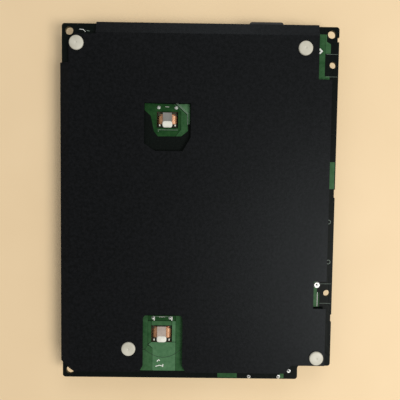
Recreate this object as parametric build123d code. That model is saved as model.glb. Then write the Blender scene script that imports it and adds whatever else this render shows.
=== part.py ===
from build123d import *

import os

# Power supply board of a large flat television, as it lies on a bench: the component side faces
# down and the solder side, under its folded black insulating sheet, faces up. Two small ferrite
# chokes are sunk into slots of the board and show through openings in the sheet.
# Millimetres. X runs across the board, Y along it towards the mains inlet, and Z up from the bench.
# Every piece is placed from the middle of the board, and the whole is centred at the end.

# ---- Circuit board ----
board_width = 154.0
board_length = 200.0
board_thickness = 1.6
board_corner_radius = 1.6
notch_width = 18.8
notch_depth = 8.0
screw_hole_radius = 2.2
screw_hole_inset_x = 4.15
screw_hole_inset_y = 4.1
edge_hole_radius = 1.8
edge_hole_inset = 3.15
upper_edge_hole_drop = 20.9
lower_edge_hole_rise = 50.5
# Break-off marks on the +X edge: distance below the +Y edge, length and depth of each.
break_marks = [(6.9, 2.6, 0.9), (92.5, 4.6, 0.5), (164.0, 4.2, 0.5)]

# ---- Insulating sheet and its rivets ----
sheet_thickness = 0.4
sheet_gap = 2.0
flap_overhang = 0.7
flap_clearance = 0.2
side_crease_inset = 4.4
top_crease_inset = 5.5
bend_radius = 1.2
sheet_edge_inset = 4.0
sheet_end_inset = 4.2
side_flap_top_drop = 21.8
side_flap_end_rise = 10.2
corner_cut_x = 7.2
screw_relief = 3.4
top_flap_left_inset = 19.3
top_left_drop = 6.3
connector_cut_inset = 11.5
connector_cut_drop = 29.4
fixing_cut_depth = 7.2
fixing_cut_length = 15.6
fixing_cut_lead = 7.2
notch_cover_inset = 0.9
rivet_head_radius = 3.95
rivet_head_height = 1.2
rivet_head_edge = 0.4
rivet_shank = 2.4
rivet_barb = 0.7
rivet_barb_length = 3.0
rivet_slit = 0.8
rivet_hole_radius = 1.8
rivet_clearance = 0.1
spacer_across_flats = 4.6
# Rivet places: distance in from the -X or +X edge and from the +Y or -Y edge.
rivet_left_top = (8.8, 11.4)
rivet_right_top = (19.25, 12.6)
rivet_left_bottom = (38.1, 17.85)
rivet_right_bottom = (8.85, 13.5)

# ---- Openings over the sunken chokes ----
choke_gap = 0.4
upper_choke_inset = 58.9
upper_choke_drop = 52.3
lower_choke_inset = 56.7
lower_choke_rise = 25.8
window_left = 12.7
window_right = 13.15
window_above = 8.95
window_below = 17.55
window_cut_left = (6.2, 4.0)
window_cut_right = (4.4, 7.6)
bay_left = 10.5
bay_right = 12.0
bay_above = 11.8
bay_corner_radius = 2.8
bay_flare = 2.0
bay_flare_height = 4.0

# ---- Sunken chokes: a small pair of E cores with the winding on its centre leg ----
sunken_core_width = 5.0
sunken_core_span = 10.0
sunken_leg = 1.6
sunken_centre_leg = 2.4
sunken_yoke = 1.1
upper_core_length = 7.8
lower_core_length = 8.6
sunken_core_rise = 0.8
sunken_bobbin_wall = 0.4
sunken_winding_reach = 2.9
sunken_rail_height = 2.6
sunken_rail_length = 2.4
sunken_post = 0.8
upper_joint_reach = 6.8
lower_joint_reach = 9.2
sunken_joint_pitch = 9.8

# ---- Solder joints and leads ----
joint_radius = 1.1
joint_height = 1.3
joint_sides = 6
edge_joint_radius = 0.8
lead_thickness = 0.6

# ---- Tall parts: the board lies level on these ----
tall_part_height = 11.0

# ---- Mains inlet ----
inlet_width = 18.9
inlet_depth = 18.5
inlet_reach = 2.7
inlet_inset = 40.35
inlet_rounding = 1.3
socket_radius = 4.2
socket_pitch = 8.6
socket_waist = 5.6
socket_depth = 12.0
inlet_pin_radius = 1.2
inlet_pin_setback = 2.0
inlet_pin_clearance = 0.05
inlet_tail_width = 2.0

# ---- Row of input parts beside the inlet ----
row_gap = 1.4
row_inset = 14.4
fuse_radius = 2.4
fuse_length = 20.0
fuse_cap_length = 5.0
fuse_cap_wall = 0.25
fuse_lift = 0.4
lead_reach = 1.6
varistor_diameter = 11.0
varistor_thickness = 4.4
thermistor_diameter = 9.5
thermistor_thickness = 4.0
disc_lift = 0.6
x_capacitor_width = 11.0
x_capacitor_length = 18.0
x_capacitor_height = 10.4
box_edge = 0.5
y_capacitor_diameter = 7.0
y_capacitor_thickness = 3.0
y_capacitor_count = 2
y_capacitor_pitch = 8.6

# ---- Line filter chokes: a closed ferrite frame with a winding on each long leg ----
filter_core_length = 21.0
filter_core_width = 16.5
filter_leg = 4.0
filter_leg_height = 4.4
filter_base = 1.0
filter_wall = 0.6
filter_winding = 1.6
filter_flange = 0.8
filter_clearance = 0.1
filter_pin_inset = 1.0

# ---- Heatsinks, and the power parts clipped to them ----
device_width = 10.0
device_length = 15.4
device_thickness = 4.5
device_tab_length = 6.0
device_tab_step = 1.6
device_lead_count = 3
device_lead_pitch = 2.54
device_lead_width = 0.9
device_lead_reach = 3.0
device_gap = 2.0
bridge_width = 22.0
bridge_length = 18.0
bridge_lead_count = 4
bridge_lead_pitch = 5.0
clip_thickness = 0.5
clip_width = 5.0
clip_upper_reach = 4.0
clip_lift = 0.4
heatsink_plate = 2.0
heatsink_fin_height = 3.4
heatsink_fin_thickness = 1.4
heatsink_fin_count = 4
heatsink_width = 18.0
heatsink_clip_strip = 4.6
heatsink_foot = 3.0
heatsink_end = 2.0
primary_heatsink_drop = 38.4
primary_heatsink_gap = 1.8
secondary_heatsink_inset = 34.0
rectifier_count = 4

# ---- Flat transformers and the boost choke ----
flat_core_seat = 0.6
flat_plate = 2.4
flange_thickness = 0.8
bobbin_wall = 0.8
bobbin_clearance = 0.15
winding_margin = 0.5
winding_corner = 3.0
rail_depth = 4.5
# Core length in X, core depth in Y, outer leg, centre post in X and in Y, and winding build.
boost_choke_size = (36.0, 24.0, 4.2, 10.0, 14.0, 6.4)
boost_choke_pin_count = 3
boost_choke_inset = 32.0
main_transformer_size = (40.0, 26.0, 4.2, 12.0, 15.0, 7.2)
main_transformer_pin_count = 5
main_transformer_inset = 27.0
standby_transformer_size = (24.0, 14.0, 3.2, 6.0, 8.0, 4.0)
standby_transformer_pin_count = 3
standby_transformer_inset = 32.0

# ---- Lying capacitors ----
bulk_radius = 5.0
bulk_length = 42.0
bulk_count = 4
bulk_pitch = 10.6
bulk_inset = 31.0
can_lift = 0.4
bung_step = 0.9
bung_length = 0.8
output_can_radius = 4.0
output_can_length = 18.0
output_can_count = 4
output_can_pitch = 8.6
output_can_inset = 9.5
film_width = 6.0
film_length = 13.0
film_height = 9.6
film_count = 3
film_pitch = 7.6

# ---- Output chokes, chips, couplers and jumper wires ----
inductor_size = 13.0
inductor_height = 7.4
inductor_count = 3
chip_length = 10.0
chip_width = 4.0
chip_height = 1.6
chip_leg_pitch = 1.8
chip_leg_count = 5
chip_leg_reach = 1.0
chip_leg_width = 0.6
chip_lift = 0.2
driver_chip_inset = 64.0
driver_chip_drop = 76.0
coupler_length = 4.6
coupler_width = 6.4
coupler_height = 3.5
coupler_leg_count = 2
coupler_leg_reach = 0.6
coupler_count = 3
coupler_pitch = 8.0
jumper_length = 10.0
jumper_height = 1.4
# Jumper wires: middle in from the -X or +X edge, middle below the +Y or above the -Y edge, and 1
# where the wire runs along Y.
input_jumper = (64.0, 37.0, 1)
return_jumpers = [(13.0, 30.0, 0), (13.0, 24.0, 0), (23.7, 9.5, 1)]
# The corner jumper's middle is in from the +X edge and past the end of the row of bulk cans.
corner_jumper_inset = 13.6
corner_jumper_gap = 7.66
crossing_jumper_insets = (44.0, 36.0)
chip_jumper_gap = 3.5

# ---- Connectors ----
output_columns = 8
output_rows = 2
pin_pitch = 2.0
pin_thickness = 0.5
output_end = 3.0
output_width = 8.4
output_height = 9.2
output_inset = 21.7
output_rise = 9.2
housing_wall = 1.0
housing_floor = 2.0
pin_stop = 1.6
led_width = 20.0
led_depth = 9.0
led_height = 7.4
led_pins = 5
led_inset = 38.2
led_tab_pitch = 17.0
led_tab_inset = 1.1

# ==== Levels and edges that the pieces share ====
board_bottom = max(
    tall_part_height,
    x_capacitor_height,
    film_height,
    output_height,
    can_lift + 2 * bulk_radius,
    clip_lift + clip_thickness + device_thickness + heatsink_plate + heatsink_fin_height,
)
board_top = board_bottom + board_thickness
sheet_bottom = board_top + sheet_gap
sheet_top = sheet_bottom + sheet_thickness
left = -board_width / 2
right = board_width / 2
bottom = -board_length / 2
top = board_length / 2

nodes = {}
joint_places = []


def keep(name, *shapes):
    """Store a node as one group of the solids of its shapes."""
    nodes[name] = Compound([solid for shape in shapes for solid in shape.solids()])


def block(x, y, z, width, length, height):
    """A box centred on x and y whose lowest face is at z."""
    return Pos(x, y, z + height / 2) * Box(width, length, height)


def drum(x, y, z, radius, height):
    """An upright cylinder whose lowest face is at z."""
    return Pos(x, y, z + height / 2) * Cylinder(radius, height)


def prism(points, z, height):
    """An upright solid on a closed outline."""
    return Pos(0, 0, z) * extrude(make_face(Polyline(*points, close=True)), height)


def under_board(x, y, turn=0):
    """Where a part goes that is drawn standing on its own XY plane: upside down under the board."""
    return Pos(x, y, board_bottom) * Rot(180, 0, 0) * Rot(0, 0, turn)


def hang(shapes, x, y, turn=0, pins=()):
    """Place shapes under the board and note where their pins are soldered."""
    place = under_board(x, y, turn)
    for pin_x, pin_y in pins:
        spot = (place * Pos(pin_x, pin_y, 0)).position
        joint_places.append((spot.X, spot.Y))
    return [place * shape for shape in shapes]


def share_out(start, end, lengths):
    """Middles of things of these lengths in a column that runs down from start to end, with the
    free space shared equally between them."""
    gap = (start - end - sum(lengths)) / (len(lengths) + 1)
    middles = []
    for length in lengths:
        start -= gap + length
        middles.append(start + length / 2)
    return middles


# ==== Circuit board ====
rivet_places = [
    (left + rivet_left_top[0], top - rivet_left_top[1]),
    (right - rivet_right_top[0], top - rivet_right_top[1]),
    (left + rivet_left_bottom[0], bottom + rivet_left_bottom[1]),
    (right - rivet_right_bottom[0], bottom + rivet_right_bottom[1]),
]
screw_places = [
    (left + screw_hole_inset_x, top - screw_hole_inset_y),
    (right - screw_hole_inset_x, top - screw_hole_inset_y),
    (left + screw_hole_inset_x, bottom + screw_hole_inset_y),
]
edge_hole_places = [
    (right - edge_hole_inset, top - upper_edge_hole_drop),
    (right - edge_hole_inset, bottom + lower_edge_hole_rise),
]
upper_choke_x = left + upper_choke_inset
upper_choke_y = top - upper_choke_drop
lower_choke_x = left + lower_choke_inset
lower_choke_y = bottom + lower_choke_rise
winding_half = sunken_core_width / 2 + sunken_winding_reach
slot_width = 2 * (winding_half + choke_gap)
sunken_rail_width = sunken_joint_pitch + 2 * sunken_rail_length
sunken_chokes = {
    "upper": (upper_choke_x, upper_choke_y, upper_core_length, upper_joint_reach),
    "lower": (lower_choke_x, lower_choke_y, lower_core_length, lower_joint_reach),
}


def circuit_board():
    """The bare board with its notch, holes, choke slots and break-off marks."""
    board = block(0, 0, board_bottom, board_width, board_length, board_thickness)
    board -= block(right, bottom, board_bottom, 2 * notch_width, 2 * notch_depth, board_thickness)
    board = fillet(board.edges().filter_by(Axis.Z), board_corner_radius)
    cuts = [drum(x, y, board_bottom, screw_hole_radius, board_thickness) for x, y in screw_places]
    cuts += [drum(x, y, board_bottom, edge_hole_radius, board_thickness) for x, y in edge_hole_places]
    cuts += [drum(x, y, board_bottom, rivet_hole_radius, board_thickness) for x, y in rivet_places]
    for x, y, length, _ in sunken_chokes.values():
        slot_length = length + 2 * choke_gap
        cuts.append(block(x, y, board_bottom, slot_width, slot_length, board_thickness))
    for drop, length, depth in break_marks:
        cuts.append(block(right, top - drop, board_bottom, 2 * depth, length, board_thickness))
    return board - cuts


keep("circuit_board", circuit_board())


# ==== Insulating sheet, its snap rivets and their spacers ====
def bent_strip(crease_inset, length):
    """An edge strip of the sheet: flat, a bend at the origin, then a slope that reaches past the
    board's edge and ends flap_clearance above it. It is drawn along +X and is length wide in Y."""
    reach = crease_inset + flap_overhang
    slope = (sheet_gap - flap_clearance) / reach
    lead_in = 2 * bend_radius
    path = FilletPolyline((-lead_in, 0), (0, 0), (reach, -reach * slope), radius=bend_radius)
    strip = extrude(Plane.XZ * trace(path, line_width=sheet_thickness), length / 2, both=True)
    return Pos(0, 0, sheet_bottom + sheet_thickness / 2) * strip


def sheet_outline():
    """The outline of the folded sheet seen from above, flaps included."""
    side = left - flap_overhang
    crease = left + side_crease_inset
    end = bottom + sheet_end_inset
    edge = right - sheet_edge_inset
    cut_x = right - connector_cut_inset
    fixing_y = bottom + lower_edge_hole_rise + fixing_cut_lead
    fixing_end = fixing_y - fixing_cut_length
    fixing_x = edge - fixing_cut_depth
    notch_edge = bottom + notch_depth + notch_cover_inset
    notch_x = right - notch_width
    return [
        (side, top - side_flap_top_drop),
        (crease, top - side_flap_top_drop),
        (crease, top - top_left_drop - screw_relief),
        (crease + screw_relief, top - top_left_drop),
        (left + top_flap_left_inset, top - top_left_drop),
        (left + top_flap_left_inset, top + flap_overhang),
        (cut_x, top + flap_overhang),
        (cut_x, top - connector_cut_drop),
        (edge, top - connector_cut_drop),
        (edge, fixing_y),
        (fixing_x, fixing_y),
        (fixing_x, fixing_end),
        (edge, fixing_end),
        (edge, notch_edge),
        (notch_x - notch_depth / 2, notch_edge),
        (notch_x - notch_depth, end),
        (left + corner_cut_x, end),
        (side, bottom + side_flap_end_rise),
    ]


def choke_window():
    """The window over the upper choke, with its two lower corners cut off."""
    x0 = upper_choke_x - window_left
    x1 = upper_choke_x + window_right
    y0 = upper_choke_y - window_below
    y1 = upper_choke_y + window_above
    points = [
        (x0, y1),
        (x1, y1),
        (x1, y0 + window_cut_right[1]),
        (x1 - window_cut_right[0], y0),
        (x0 + window_cut_left[0], y0),
        (x0, y0 + window_cut_left[1]),
    ]
    return prism(points, sheet_bottom, sheet_thickness)


def choke_bay():
    """The bay over the lower choke: rounded at its head, flared where it meets the sheet's end."""
    x0 = lower_choke_x - bay_left
    x1 = lower_choke_x + bay_right
    head = lower_choke_y + bay_above
    end = bottom + sheet_end_inset
    body = block((x0 + x1) / 2, (head + end) / 2, sheet_bottom, x1 - x0, head - end, sheet_thickness)
    body = fillet(body.edges().filter_by(Axis.Z).group_by(Axis.Y)[-1], bay_corner_radius)
    flare = [(x0, end + bay_flare_height), (x1, end + bay_flare_height), (x1 + bay_flare, end)]
    flare.append((x0 - bay_flare, end))
    return body + prism(flare, sheet_bottom, sheet_thickness)


def insulating_sheet():
    """A flat plate with a sloping flap along -X and +Y, trimmed to its outline and pierced."""
    crease_x = left + side_crease_inset
    crease_y = top - top_crease_inset
    x1 = right - sheet_edge_inset
    y0 = bottom + sheet_end_inset
    overlap = bend_radius
    width = x1 - crease_x - overlap
    length = crease_y - y0 - overlap
    sheet = block(x1 - width / 2, y0 + length / 2, sheet_bottom, width, length, sheet_thickness)
    side = Pos(crease_x, (y0 + crease_y) / 2, 0) * Rot(0, 0, 180) * bent_strip(
        side_crease_inset, crease_y - y0 + 2 * overlap
    )
    upper = Pos((crease_x + x1) / 2, crease_y, 0) * Rot(0, 0, 90) * bent_strip(
        top_crease_inset, x1 - crease_x
    )
    sheet = (sheet + side) + upper
    sheet &= prism(sheet_outline(), board_bottom, sheet_top - board_bottom)
    sheet -= [choke_window(), choke_bay()]
    hole = rivet_shank + 2 * rivet_clearance
    return sheet - [block(x, y, sheet_bottom, hole, hole, sheet_thickness) for x, y in rivet_places]


def snap_rivet(x, y):
    """A plastic push rivet: a round head, a square shank and two barbed prongs under the board."""
    head = drum(x, y, sheet_top, rivet_head_radius, rivet_head_height)
    head = chamfer(head.edges().group_by(Axis.Z)[-1], rivet_head_edge)
    shank = block(x, y, board_bottom, rivet_shank, rivet_shank, sheet_top - board_bottom)
    half = rivet_shank / 2
    tip = board_bottom - rivet_barb_length
    slit = rivet_slit / 2
    for side in (-1, 1):
        prong = Polyline(
            (side * slit, board_bottom),
            (side * (half + rivet_barb), board_bottom),
            (side * half, tip),
            (side * slit, tip),
            close=True,
        )
        shank += Pos(x, y, 0) * extrude(Plane.XZ * make_face(prong), half, both=True)
    return head + shank


def rivet_spacer(x, y):
    """A six-sided ring on the shank that holds the sheet off the solder joints."""
    hexagon = RegularPolygon(spacer_across_flats / 2, 6, major_radius=False)
    ring = Pos(x, y, board_top) * extrude(hexagon, sheet_gap)
    return ring - block(x, y, board_top, rivet_shank, rivet_shank, sheet_gap)


keep("insulating_sheet", insulating_sheet())
keep("sheet_rivets", *[snap_rivet(x, y) for x, y in rivet_places])
keep("rivet_spacers", *[rivet_spacer(x, y) for x, y in rivet_places])


# ==== Sunken chokes ====
def sunken_choke(name, x, y, length, joint_reach):
    """Two E halves stand upright in the board's slot, with the coil lying along Y between them.
    The bobbin's arms pass the core under the board and end in rails that carry the pins."""
    top_face = board_top + sunken_core_rise
    low_face = top_face - sunken_core_span
    middle = top_face - sunken_core_span / 2
    window_length = length - 2 * sunken_yoke
    window_half = sunken_core_span / 2 - sunken_leg
    core = block(x, y, low_face, sunken_core_width, length, sunken_core_span)
    hollow_height = window_half - sunken_centre_leg / 2
    for base in (middle + sunken_centre_leg / 2, middle - window_half):
        core -= block(x, y, base, sunken_core_width, window_length, hollow_height)
    half = block(x, y + length / 4, low_face, sunken_core_width, length / 2, sunken_core_span)
    keep(f"{name}_choke_core", core & half, core - half)

    tube_width = sunken_core_width + 2 * sunken_bobbin_wall
    tube_height = sunken_centre_leg + 2 * sunken_bobbin_wall
    coil_height = 2 * (window_half - sunken_bobbin_wall / 2)
    flange = sunken_bobbin_wall
    coil_length = window_length - 2 * flange
    coil_corner = coil_height / 2 - sunken_bobbin_wall
    centre = Pos(x, y, middle)
    leg_hole = centre * Box(sunken_core_width, window_length, sunken_centre_leg)
    tube = centre * Box(tube_width, window_length, tube_height)
    coil = RectangleRounded(2 * winding_half, coil_height, coil_corner)
    coil = centre * extrude(Plane.XZ * coil, coil_length / 2, both=True)
    keep(f"{name}_choke_winding", coil - tube)

    bobbin = centre * Box(2 * winding_half, window_length, coil_height)
    bobbin -= centre * Box(2 * winding_half, coil_length, coil_height)
    bobbin += tube
    arm_inner = sunken_core_width / 2 + choke_gap / 2
    arm_width = winding_half - arm_inner
    arm_x = (winding_half + arm_inner) / 2
    rail_base = board_bottom - sunken_rail_height
    rail_start = length / 2 + choke_gap
    far_rail = joint_reach + sunken_rail_length / 2
    near_rail = rail_start + sunken_rail_length
    for side in (-1, 1):
        for way, reach in ((1, far_rail), (-1, near_rail)):
            start = window_length / 2 - flange
            arm_y = y + way * (start + reach) / 2
            bobbin += block(x + side * arm_x, arm_y, rail_base, arm_width, reach - start, sunken_rail_height)
        post_y = y - (length - sunken_yoke) / 2
        bobbin += block(x + side * arm_x, post_y, board_bottom, sunken_post, sunken_post, board_thickness)
    for way, reach in ((1, far_rail), (-1, near_rail)):
        rail_y = y + way * (reach - sunken_rail_length / 2)
        bobbin += block(x, rail_y, rail_base, sunken_rail_width, sunken_rail_length, sunken_rail_height)
    keep(f"{name}_choke_bobbin", bobbin - leg_hole)
    for side in (-1, 1):
        joint_places.append((x + side * sunken_joint_pitch / 2, y + joint_reach))


for choke_name, choke in sunken_chokes.items():
    sunken_choke(choke_name, *choke)


# ==== Mains inlet ====
inlet_x = right - inlet_inset
inlet_front = top + inlet_reach
inlet_rear = inlet_front - inlet_depth
inlet_axis = board_bottom - tall_part_height / 2


def along_y(shape, y0, y1):
    """A flat shape drawn in X and Z, carried from y0 to y1."""
    return Pos(0, (y0 + y1) / 2, 0) * extrude(Plane.XZ * shape, (y1 - y0) / 2, both=True)


def inlet_housing():
    """The moulded housing with its figure-eight socket, open towards +Y."""
    body_y = (inlet_front + inlet_rear) / 2
    body = block(inlet_x, body_y, board_bottom - tall_part_height, inlet_width, inlet_depth, tall_part_height)
    body = fillet(body.edges().filter_by(Axis.Z).group_by(Axis.Y)[-1], inlet_rounding)
    socket = Rectangle(socket_pitch, socket_waist)
    for side in (-1, 1):
        socket += Pos(side * socket_pitch / 2, 0) * Circle(socket_radius)
    body -= Pos(inlet_x, 0, inlet_axis) * along_y(socket, inlet_front - socket_depth, inlet_front)
    for side in (-1, 1):
        hole = along_y(Circle(inlet_pin_radius + inlet_pin_clearance), inlet_rear, inlet_front)
        body -= Pos(inlet_x + side * socket_pitch / 2, 0, inlet_axis) * hole
    return body


def inlet_pin(side):
    """A round pin whose flat tail rises behind the housing to the board."""
    x = inlet_x + side * socket_pitch / 2
    tail_y = inlet_rear - inlet_pin_clearance - inlet_tail_width / 2
    pin = along_y(Circle(inlet_pin_radius), tail_y, inlet_front - inlet_pin_setback)
    tail_base = inlet_axis - inlet_pin_radius
    tail = block(x, tail_y, tail_base, 2 * inlet_pin_radius, inlet_tail_width, board_bottom - tail_base)
    joint_places.append((x, tail_y))
    return Pos(x, 0, inlet_axis) * pin + tail


keep("ac_inlet_housing", inlet_housing())
keep("ac_inlet_pins", inlet_pin(-1), inlet_pin(1))


# ==== Row of input parts, from the inlet towards -X ====
def bent_lead(x, height, reach, way):
    """A wire that leaves a lying part along X at a height and bends down to the board."""
    width = lead_thickness
    run = block(x + way * reach / 2, 0, height - width / 2, reach, width, width)
    foot_x = x + way * (reach - width / 2)
    return run + block(foot_x, 0, 0, width, width, height)


def fuse_parts():
    """A ceramic tube between two wider end caps, each with its lead. It lies along X."""
    cap_radius = fuse_radius + fuse_cap_wall
    height = fuse_lift + cap_radius
    axis = Pos(0, 0, height) * Rot(0, 90, 0)
    tube = axis * Cylinder(fuse_radius, fuse_length - 2 * fuse_cap_length)
    caps = []
    for way in (-1, 1):
        middle = way * (fuse_length - fuse_cap_length) / 2
        cap = Pos(middle, 0, 0) * axis * Cylinder(cap_radius, fuse_cap_length)
        caps.append(cap + bent_lead(way * fuse_length / 2, height, lead_reach, way))
    foot = fuse_length / 2 + lead_reach - lead_thickness / 2
    return tube, caps, [(-foot, 0), (foot, 0)]


def coated_disc(diameter, thickness):
    """A dipped disc that lies on the board, with both leads on one side."""
    body = drum(0, 0, disc_lift, diameter / 2, thickness)
    pitch = diameter / 2
    foot = diameter / 2 + lead_thickness
    height = disc_lift + thickness / 2
    for side in (-1, 1):
        y = side * pitch / 2
        inner = diameter / 4
        lead = block((inner + foot) / 2, y, height, foot - inner, lead_thickness, lead_thickness)
        foot_x = foot - lead_thickness / 2
        body += lead + block(foot_x, y, 0, lead_thickness, lead_thickness, height)
    return body, [(foot - lead_thickness / 2, side * pitch / 2) for side in (-1, 1)]


def box_capacitor(width, length, height):
    """A potted box capacitor with its two leads underneath."""
    body = block(0, 0, 0, width, length, height)
    body = chamfer(body.edges().group_by(Axis.Z)[-1] + body.edges().filter_by(Axis.Z), box_edge)
    pitch = length - width / 2
    return body, [(0, -pitch / 2), (0, pitch / 2)]


def line_filter(number, x, y):
    """A ferrite frame lies on a base; each long leg runs through a tube with its own winding."""
    leg_z = filter_base + filter_winding + filter_wall + filter_clearance
    core = block(0, 0, leg_z, filter_core_length, filter_core_width, filter_leg_height)
    hole_length = filter_core_length - 2 * filter_leg
    core -= block(0, 0, leg_z, hole_length, filter_core_width - 2 * filter_leg, filter_leg_height)
    leg_y = (filter_core_width - filter_leg) / 2
    axis_z = leg_z + filter_leg_height / 2
    tube_length = hole_length - 2 * filter_clearance
    inner_width = filter_leg + 2 * filter_clearance
    inner_height = filter_leg_height + 2 * filter_clearance
    tube_width = inner_width + 2 * filter_wall
    tube_height = inner_height + 2 * filter_wall
    coil_width = tube_width + 2 * filter_winding
    coil_height = tube_height + 2 * filter_winding
    coil_length = tube_length - 2 * filter_flange
    base_width = 2 * leg_y + coil_width
    bobbin = block(0, 0, 0, tube_length, base_width, filter_base)
    coils = []
    for side in (-1, 1):
        spot = Pos(0, side * leg_y, axis_z)
        bobbin += spot * Box(tube_length, coil_width, coil_height)
        bobbin -= spot * Box(coil_length, coil_width, coil_height)
    for side in (-1, 1):
        spot = Pos(0, side * leg_y, axis_z)
        bobbin += spot * Box(tube_length, tube_width, tube_height)
        coil = Box(coil_length, coil_width, coil_height)
        coil = chamfer(coil.edges().filter_by(Axis.X), filter_winding / 2)
        coils.append(spot * (coil - Box(coil_length, tube_width, tube_height)))
        bobbin -= spot * Box(tube_length, inner_width, inner_height)
    pin_x = tube_length / 2 - filter_pin_inset
    pins = [(sx * pin_x, sy * leg_y) for sx in (-1, 1) for sy in (-1, 1)]
    placed = hang([core, bobbin, *coils], x, y, 90, pins)
    keep(f"line_filter_core_{number}", placed[0])
    keep(f"line_filter_bobbin_{number}", placed[1])
    keep(f"line_filter_windings_{number}", *placed[2:])


filter_coil_width = filter_leg + 2 * (filter_clearance + filter_wall + filter_winding)
filter_width = filter_core_width - filter_leg + filter_coil_width
row_y = top - row_inset
row_x = inlet_x - inlet_width / 2

fuse_diameter = 2 * (fuse_radius + fuse_cap_wall)
row_x -= row_gap + fuse_diameter / 2
tube, caps, pins = fuse_parts()
fuse = hang([tube, *caps], row_x, row_y, 90, pins)
keep("fuse_tube", fuse[0])
keep("fuse_caps", *fuse[1:])

row_x -= row_gap + fuse_diameter / 2 + varistor_diameter / 2
disc, pins = coated_disc(varistor_diameter, varistor_thickness)
disc_y = row_y + varistor_diameter / 2 + row_gap / 2
keep("varistor", *hang([disc], row_x, disc_y, 0, pins))
disc, pins = coated_disc(thermistor_diameter, thermistor_thickness)
disc_y = row_y - thermistor_diameter / 2 - row_gap / 2
keep("inrush_thermistor", *hang([disc], row_x, disc_y, 0, pins))

row_x -= varistor_diameter / 2
for number in (1, 2):
    row_x -= row_gap + x_capacitor_width / 2
    body, pins = box_capacitor(x_capacitor_width, x_capacitor_length, x_capacitor_height)
    keep(f"x_capacitor_{number}", *hang([body], row_x, row_y, 0, pins))
    row_x -= x_capacitor_width / 2 + row_gap + filter_width / 2
    line_filter(number, row_x, row_y)
    row_x -= filter_width / 2

y_row = row_y - filter_core_length / 2 - row_gap - y_capacitor_diameter
y_capacitors = []
for index in range(y_capacitor_count):
    disc, pins = coated_disc(y_capacitor_diameter, y_capacitor_thickness)
    disc_x = left + rivet_left_bottom[0] + y_capacitor_pitch * (index - 1)
    y_capacitors += hang([disc], disc_x, y_row, 90, pins)
keep("y_capacitors", *y_capacitors)


# ==== Power parts on their heatsinks ====
def power_device(width, length, lead_count, lead_pitch):
    """A moulded package that lies with its thin end at the origin and runs along -Y. Its leads
    leave the other end and bend down to the board."""
    base = clip_lift + clip_thickness
    device = block(0, -length / 2, base, width, length, device_thickness)
    step_length = 2 * device_tab_length
    device -= block(0, 0, base, width, step_length, device_tab_step)
    pins = []
    for index in range(lead_count):
        x = (index - (lead_count - 1) / 2) * lead_pitch
        height = base + device_thickness / 2
        middle_y = -length - device_lead_reach / 2
        lead = block(x, middle_y, height, device_lead_width, device_lead_reach, lead_thickness)
        foot_y = -length - device_lead_reach + lead_thickness / 2
        device += lead + block(x, foot_y, 0, device_lead_width, lead_thickness, height)
        pins.append((x, foot_y))
    return device, pins


def spring_clip():
    """A C of spring steel that grips a package and the heatsink's plate at their common edge."""
    base = clip_lift + device_tab_step
    top_z = clip_lift + clip_thickness + device_thickness + heatsink_plate
    height = top_z + clip_thickness - base
    clip = block(0, clip_thickness / 2, base, clip_width, clip_thickness, height)
    clip += block(0, -clip_upper_reach / 2, top_z, clip_width, clip_upper_reach, clip_thickness)
    return clip + block(0, -device_tab_length / 2, base, clip_width, device_tab_length, clip_thickness)


def finned_heatsink(length):
    """An extruded plate that lies on the packages, with fins away from the board and a foot at
    each end that stands on the board. The clips hold it along its plain edge."""
    plate_z = clip_lift + clip_thickness + device_thickness
    plate = block(0, 0, plate_z, length, heatsink_width, heatsink_plate)
    pitch = (heatsink_width - heatsink_clip_strip - heatsink_fin_thickness) / (heatsink_fin_count - 1)
    first = (heatsink_fin_thickness - heatsink_width) / 2
    fin_z = plate_z + heatsink_plate
    for index in range(heatsink_fin_count):
        fin_y = first + index * pitch
        plate += block(0, fin_y, fin_z, length, heatsink_fin_thickness, heatsink_fin_height)
    for way in (-1, 1):
        foot_x = way * (length - heatsink_end) / 2
        plate += block(foot_x, 0, 0, heatsink_end, heatsink_foot, plate_z)
    return plate


def heatsink_group(x, y, packages):
    """Packages side by side under one heatsink: gives the heatsink, the packages and the clips."""
    edge_y = heatsink_width / 2
    cursor = -heatsink_span(packages) / 2 + heatsink_end
    parts = []
    clips = []
    for width, length, lead_count, lead_pitch in packages:
        centre = cursor + device_gap + width / 2
        cursor += device_gap + width
        device, pins = power_device(width, length, lead_count, lead_pitch)
        pins = [(pin_x + centre, pin_y + edge_y) for pin_x, pin_y in pins]
        parts += hang([Pos(centre, edge_y, 0) * device], x, y, 0, pins)
        clips += hang([Pos(centre, edge_y, 0) * spring_clip()], x, y)
    return hang([finned_heatsink(heatsink_span(packages))], x, y), parts, clips


def heatsink_span(packages):
    """The length of the heatsink over a row of packages."""
    widths = [package[0] for package in packages]
    return sum(widths) + device_gap * (len(widths) + 1) + 2 * heatsink_end


transistor = (device_width, device_length, device_lead_count, device_lead_pitch)
bridge = (bridge_width, bridge_length, bridge_lead_count, bridge_lead_pitch)
primary_row = [transistor, transistor, transistor, bridge]
choke_right = upper_choke_x + sunken_rail_width / 2
primary_left = choke_right + primary_heatsink_gap
primary_x = primary_left + heatsink_span(primary_row) / 2
primary_y = top - primary_heatsink_drop
primary_bottom = primary_y - heatsink_width / 2
primary, packages, primary_clips = heatsink_group(primary_x, primary_y, primary_row)
keep("primary_heatsink", *primary)
keep("power_transistors", *packages[:2])
keep("boost_diode", packages[2])
keep("bridge_rectifier", packages[3])



# ==== Columns of parts, from the input row down to the connectors ====
def flat_depth(size):
    """The length along Y of a flat transformer with its rails."""
    return size[1] + 2 * (bobbin_clearance + rail_depth)


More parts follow.
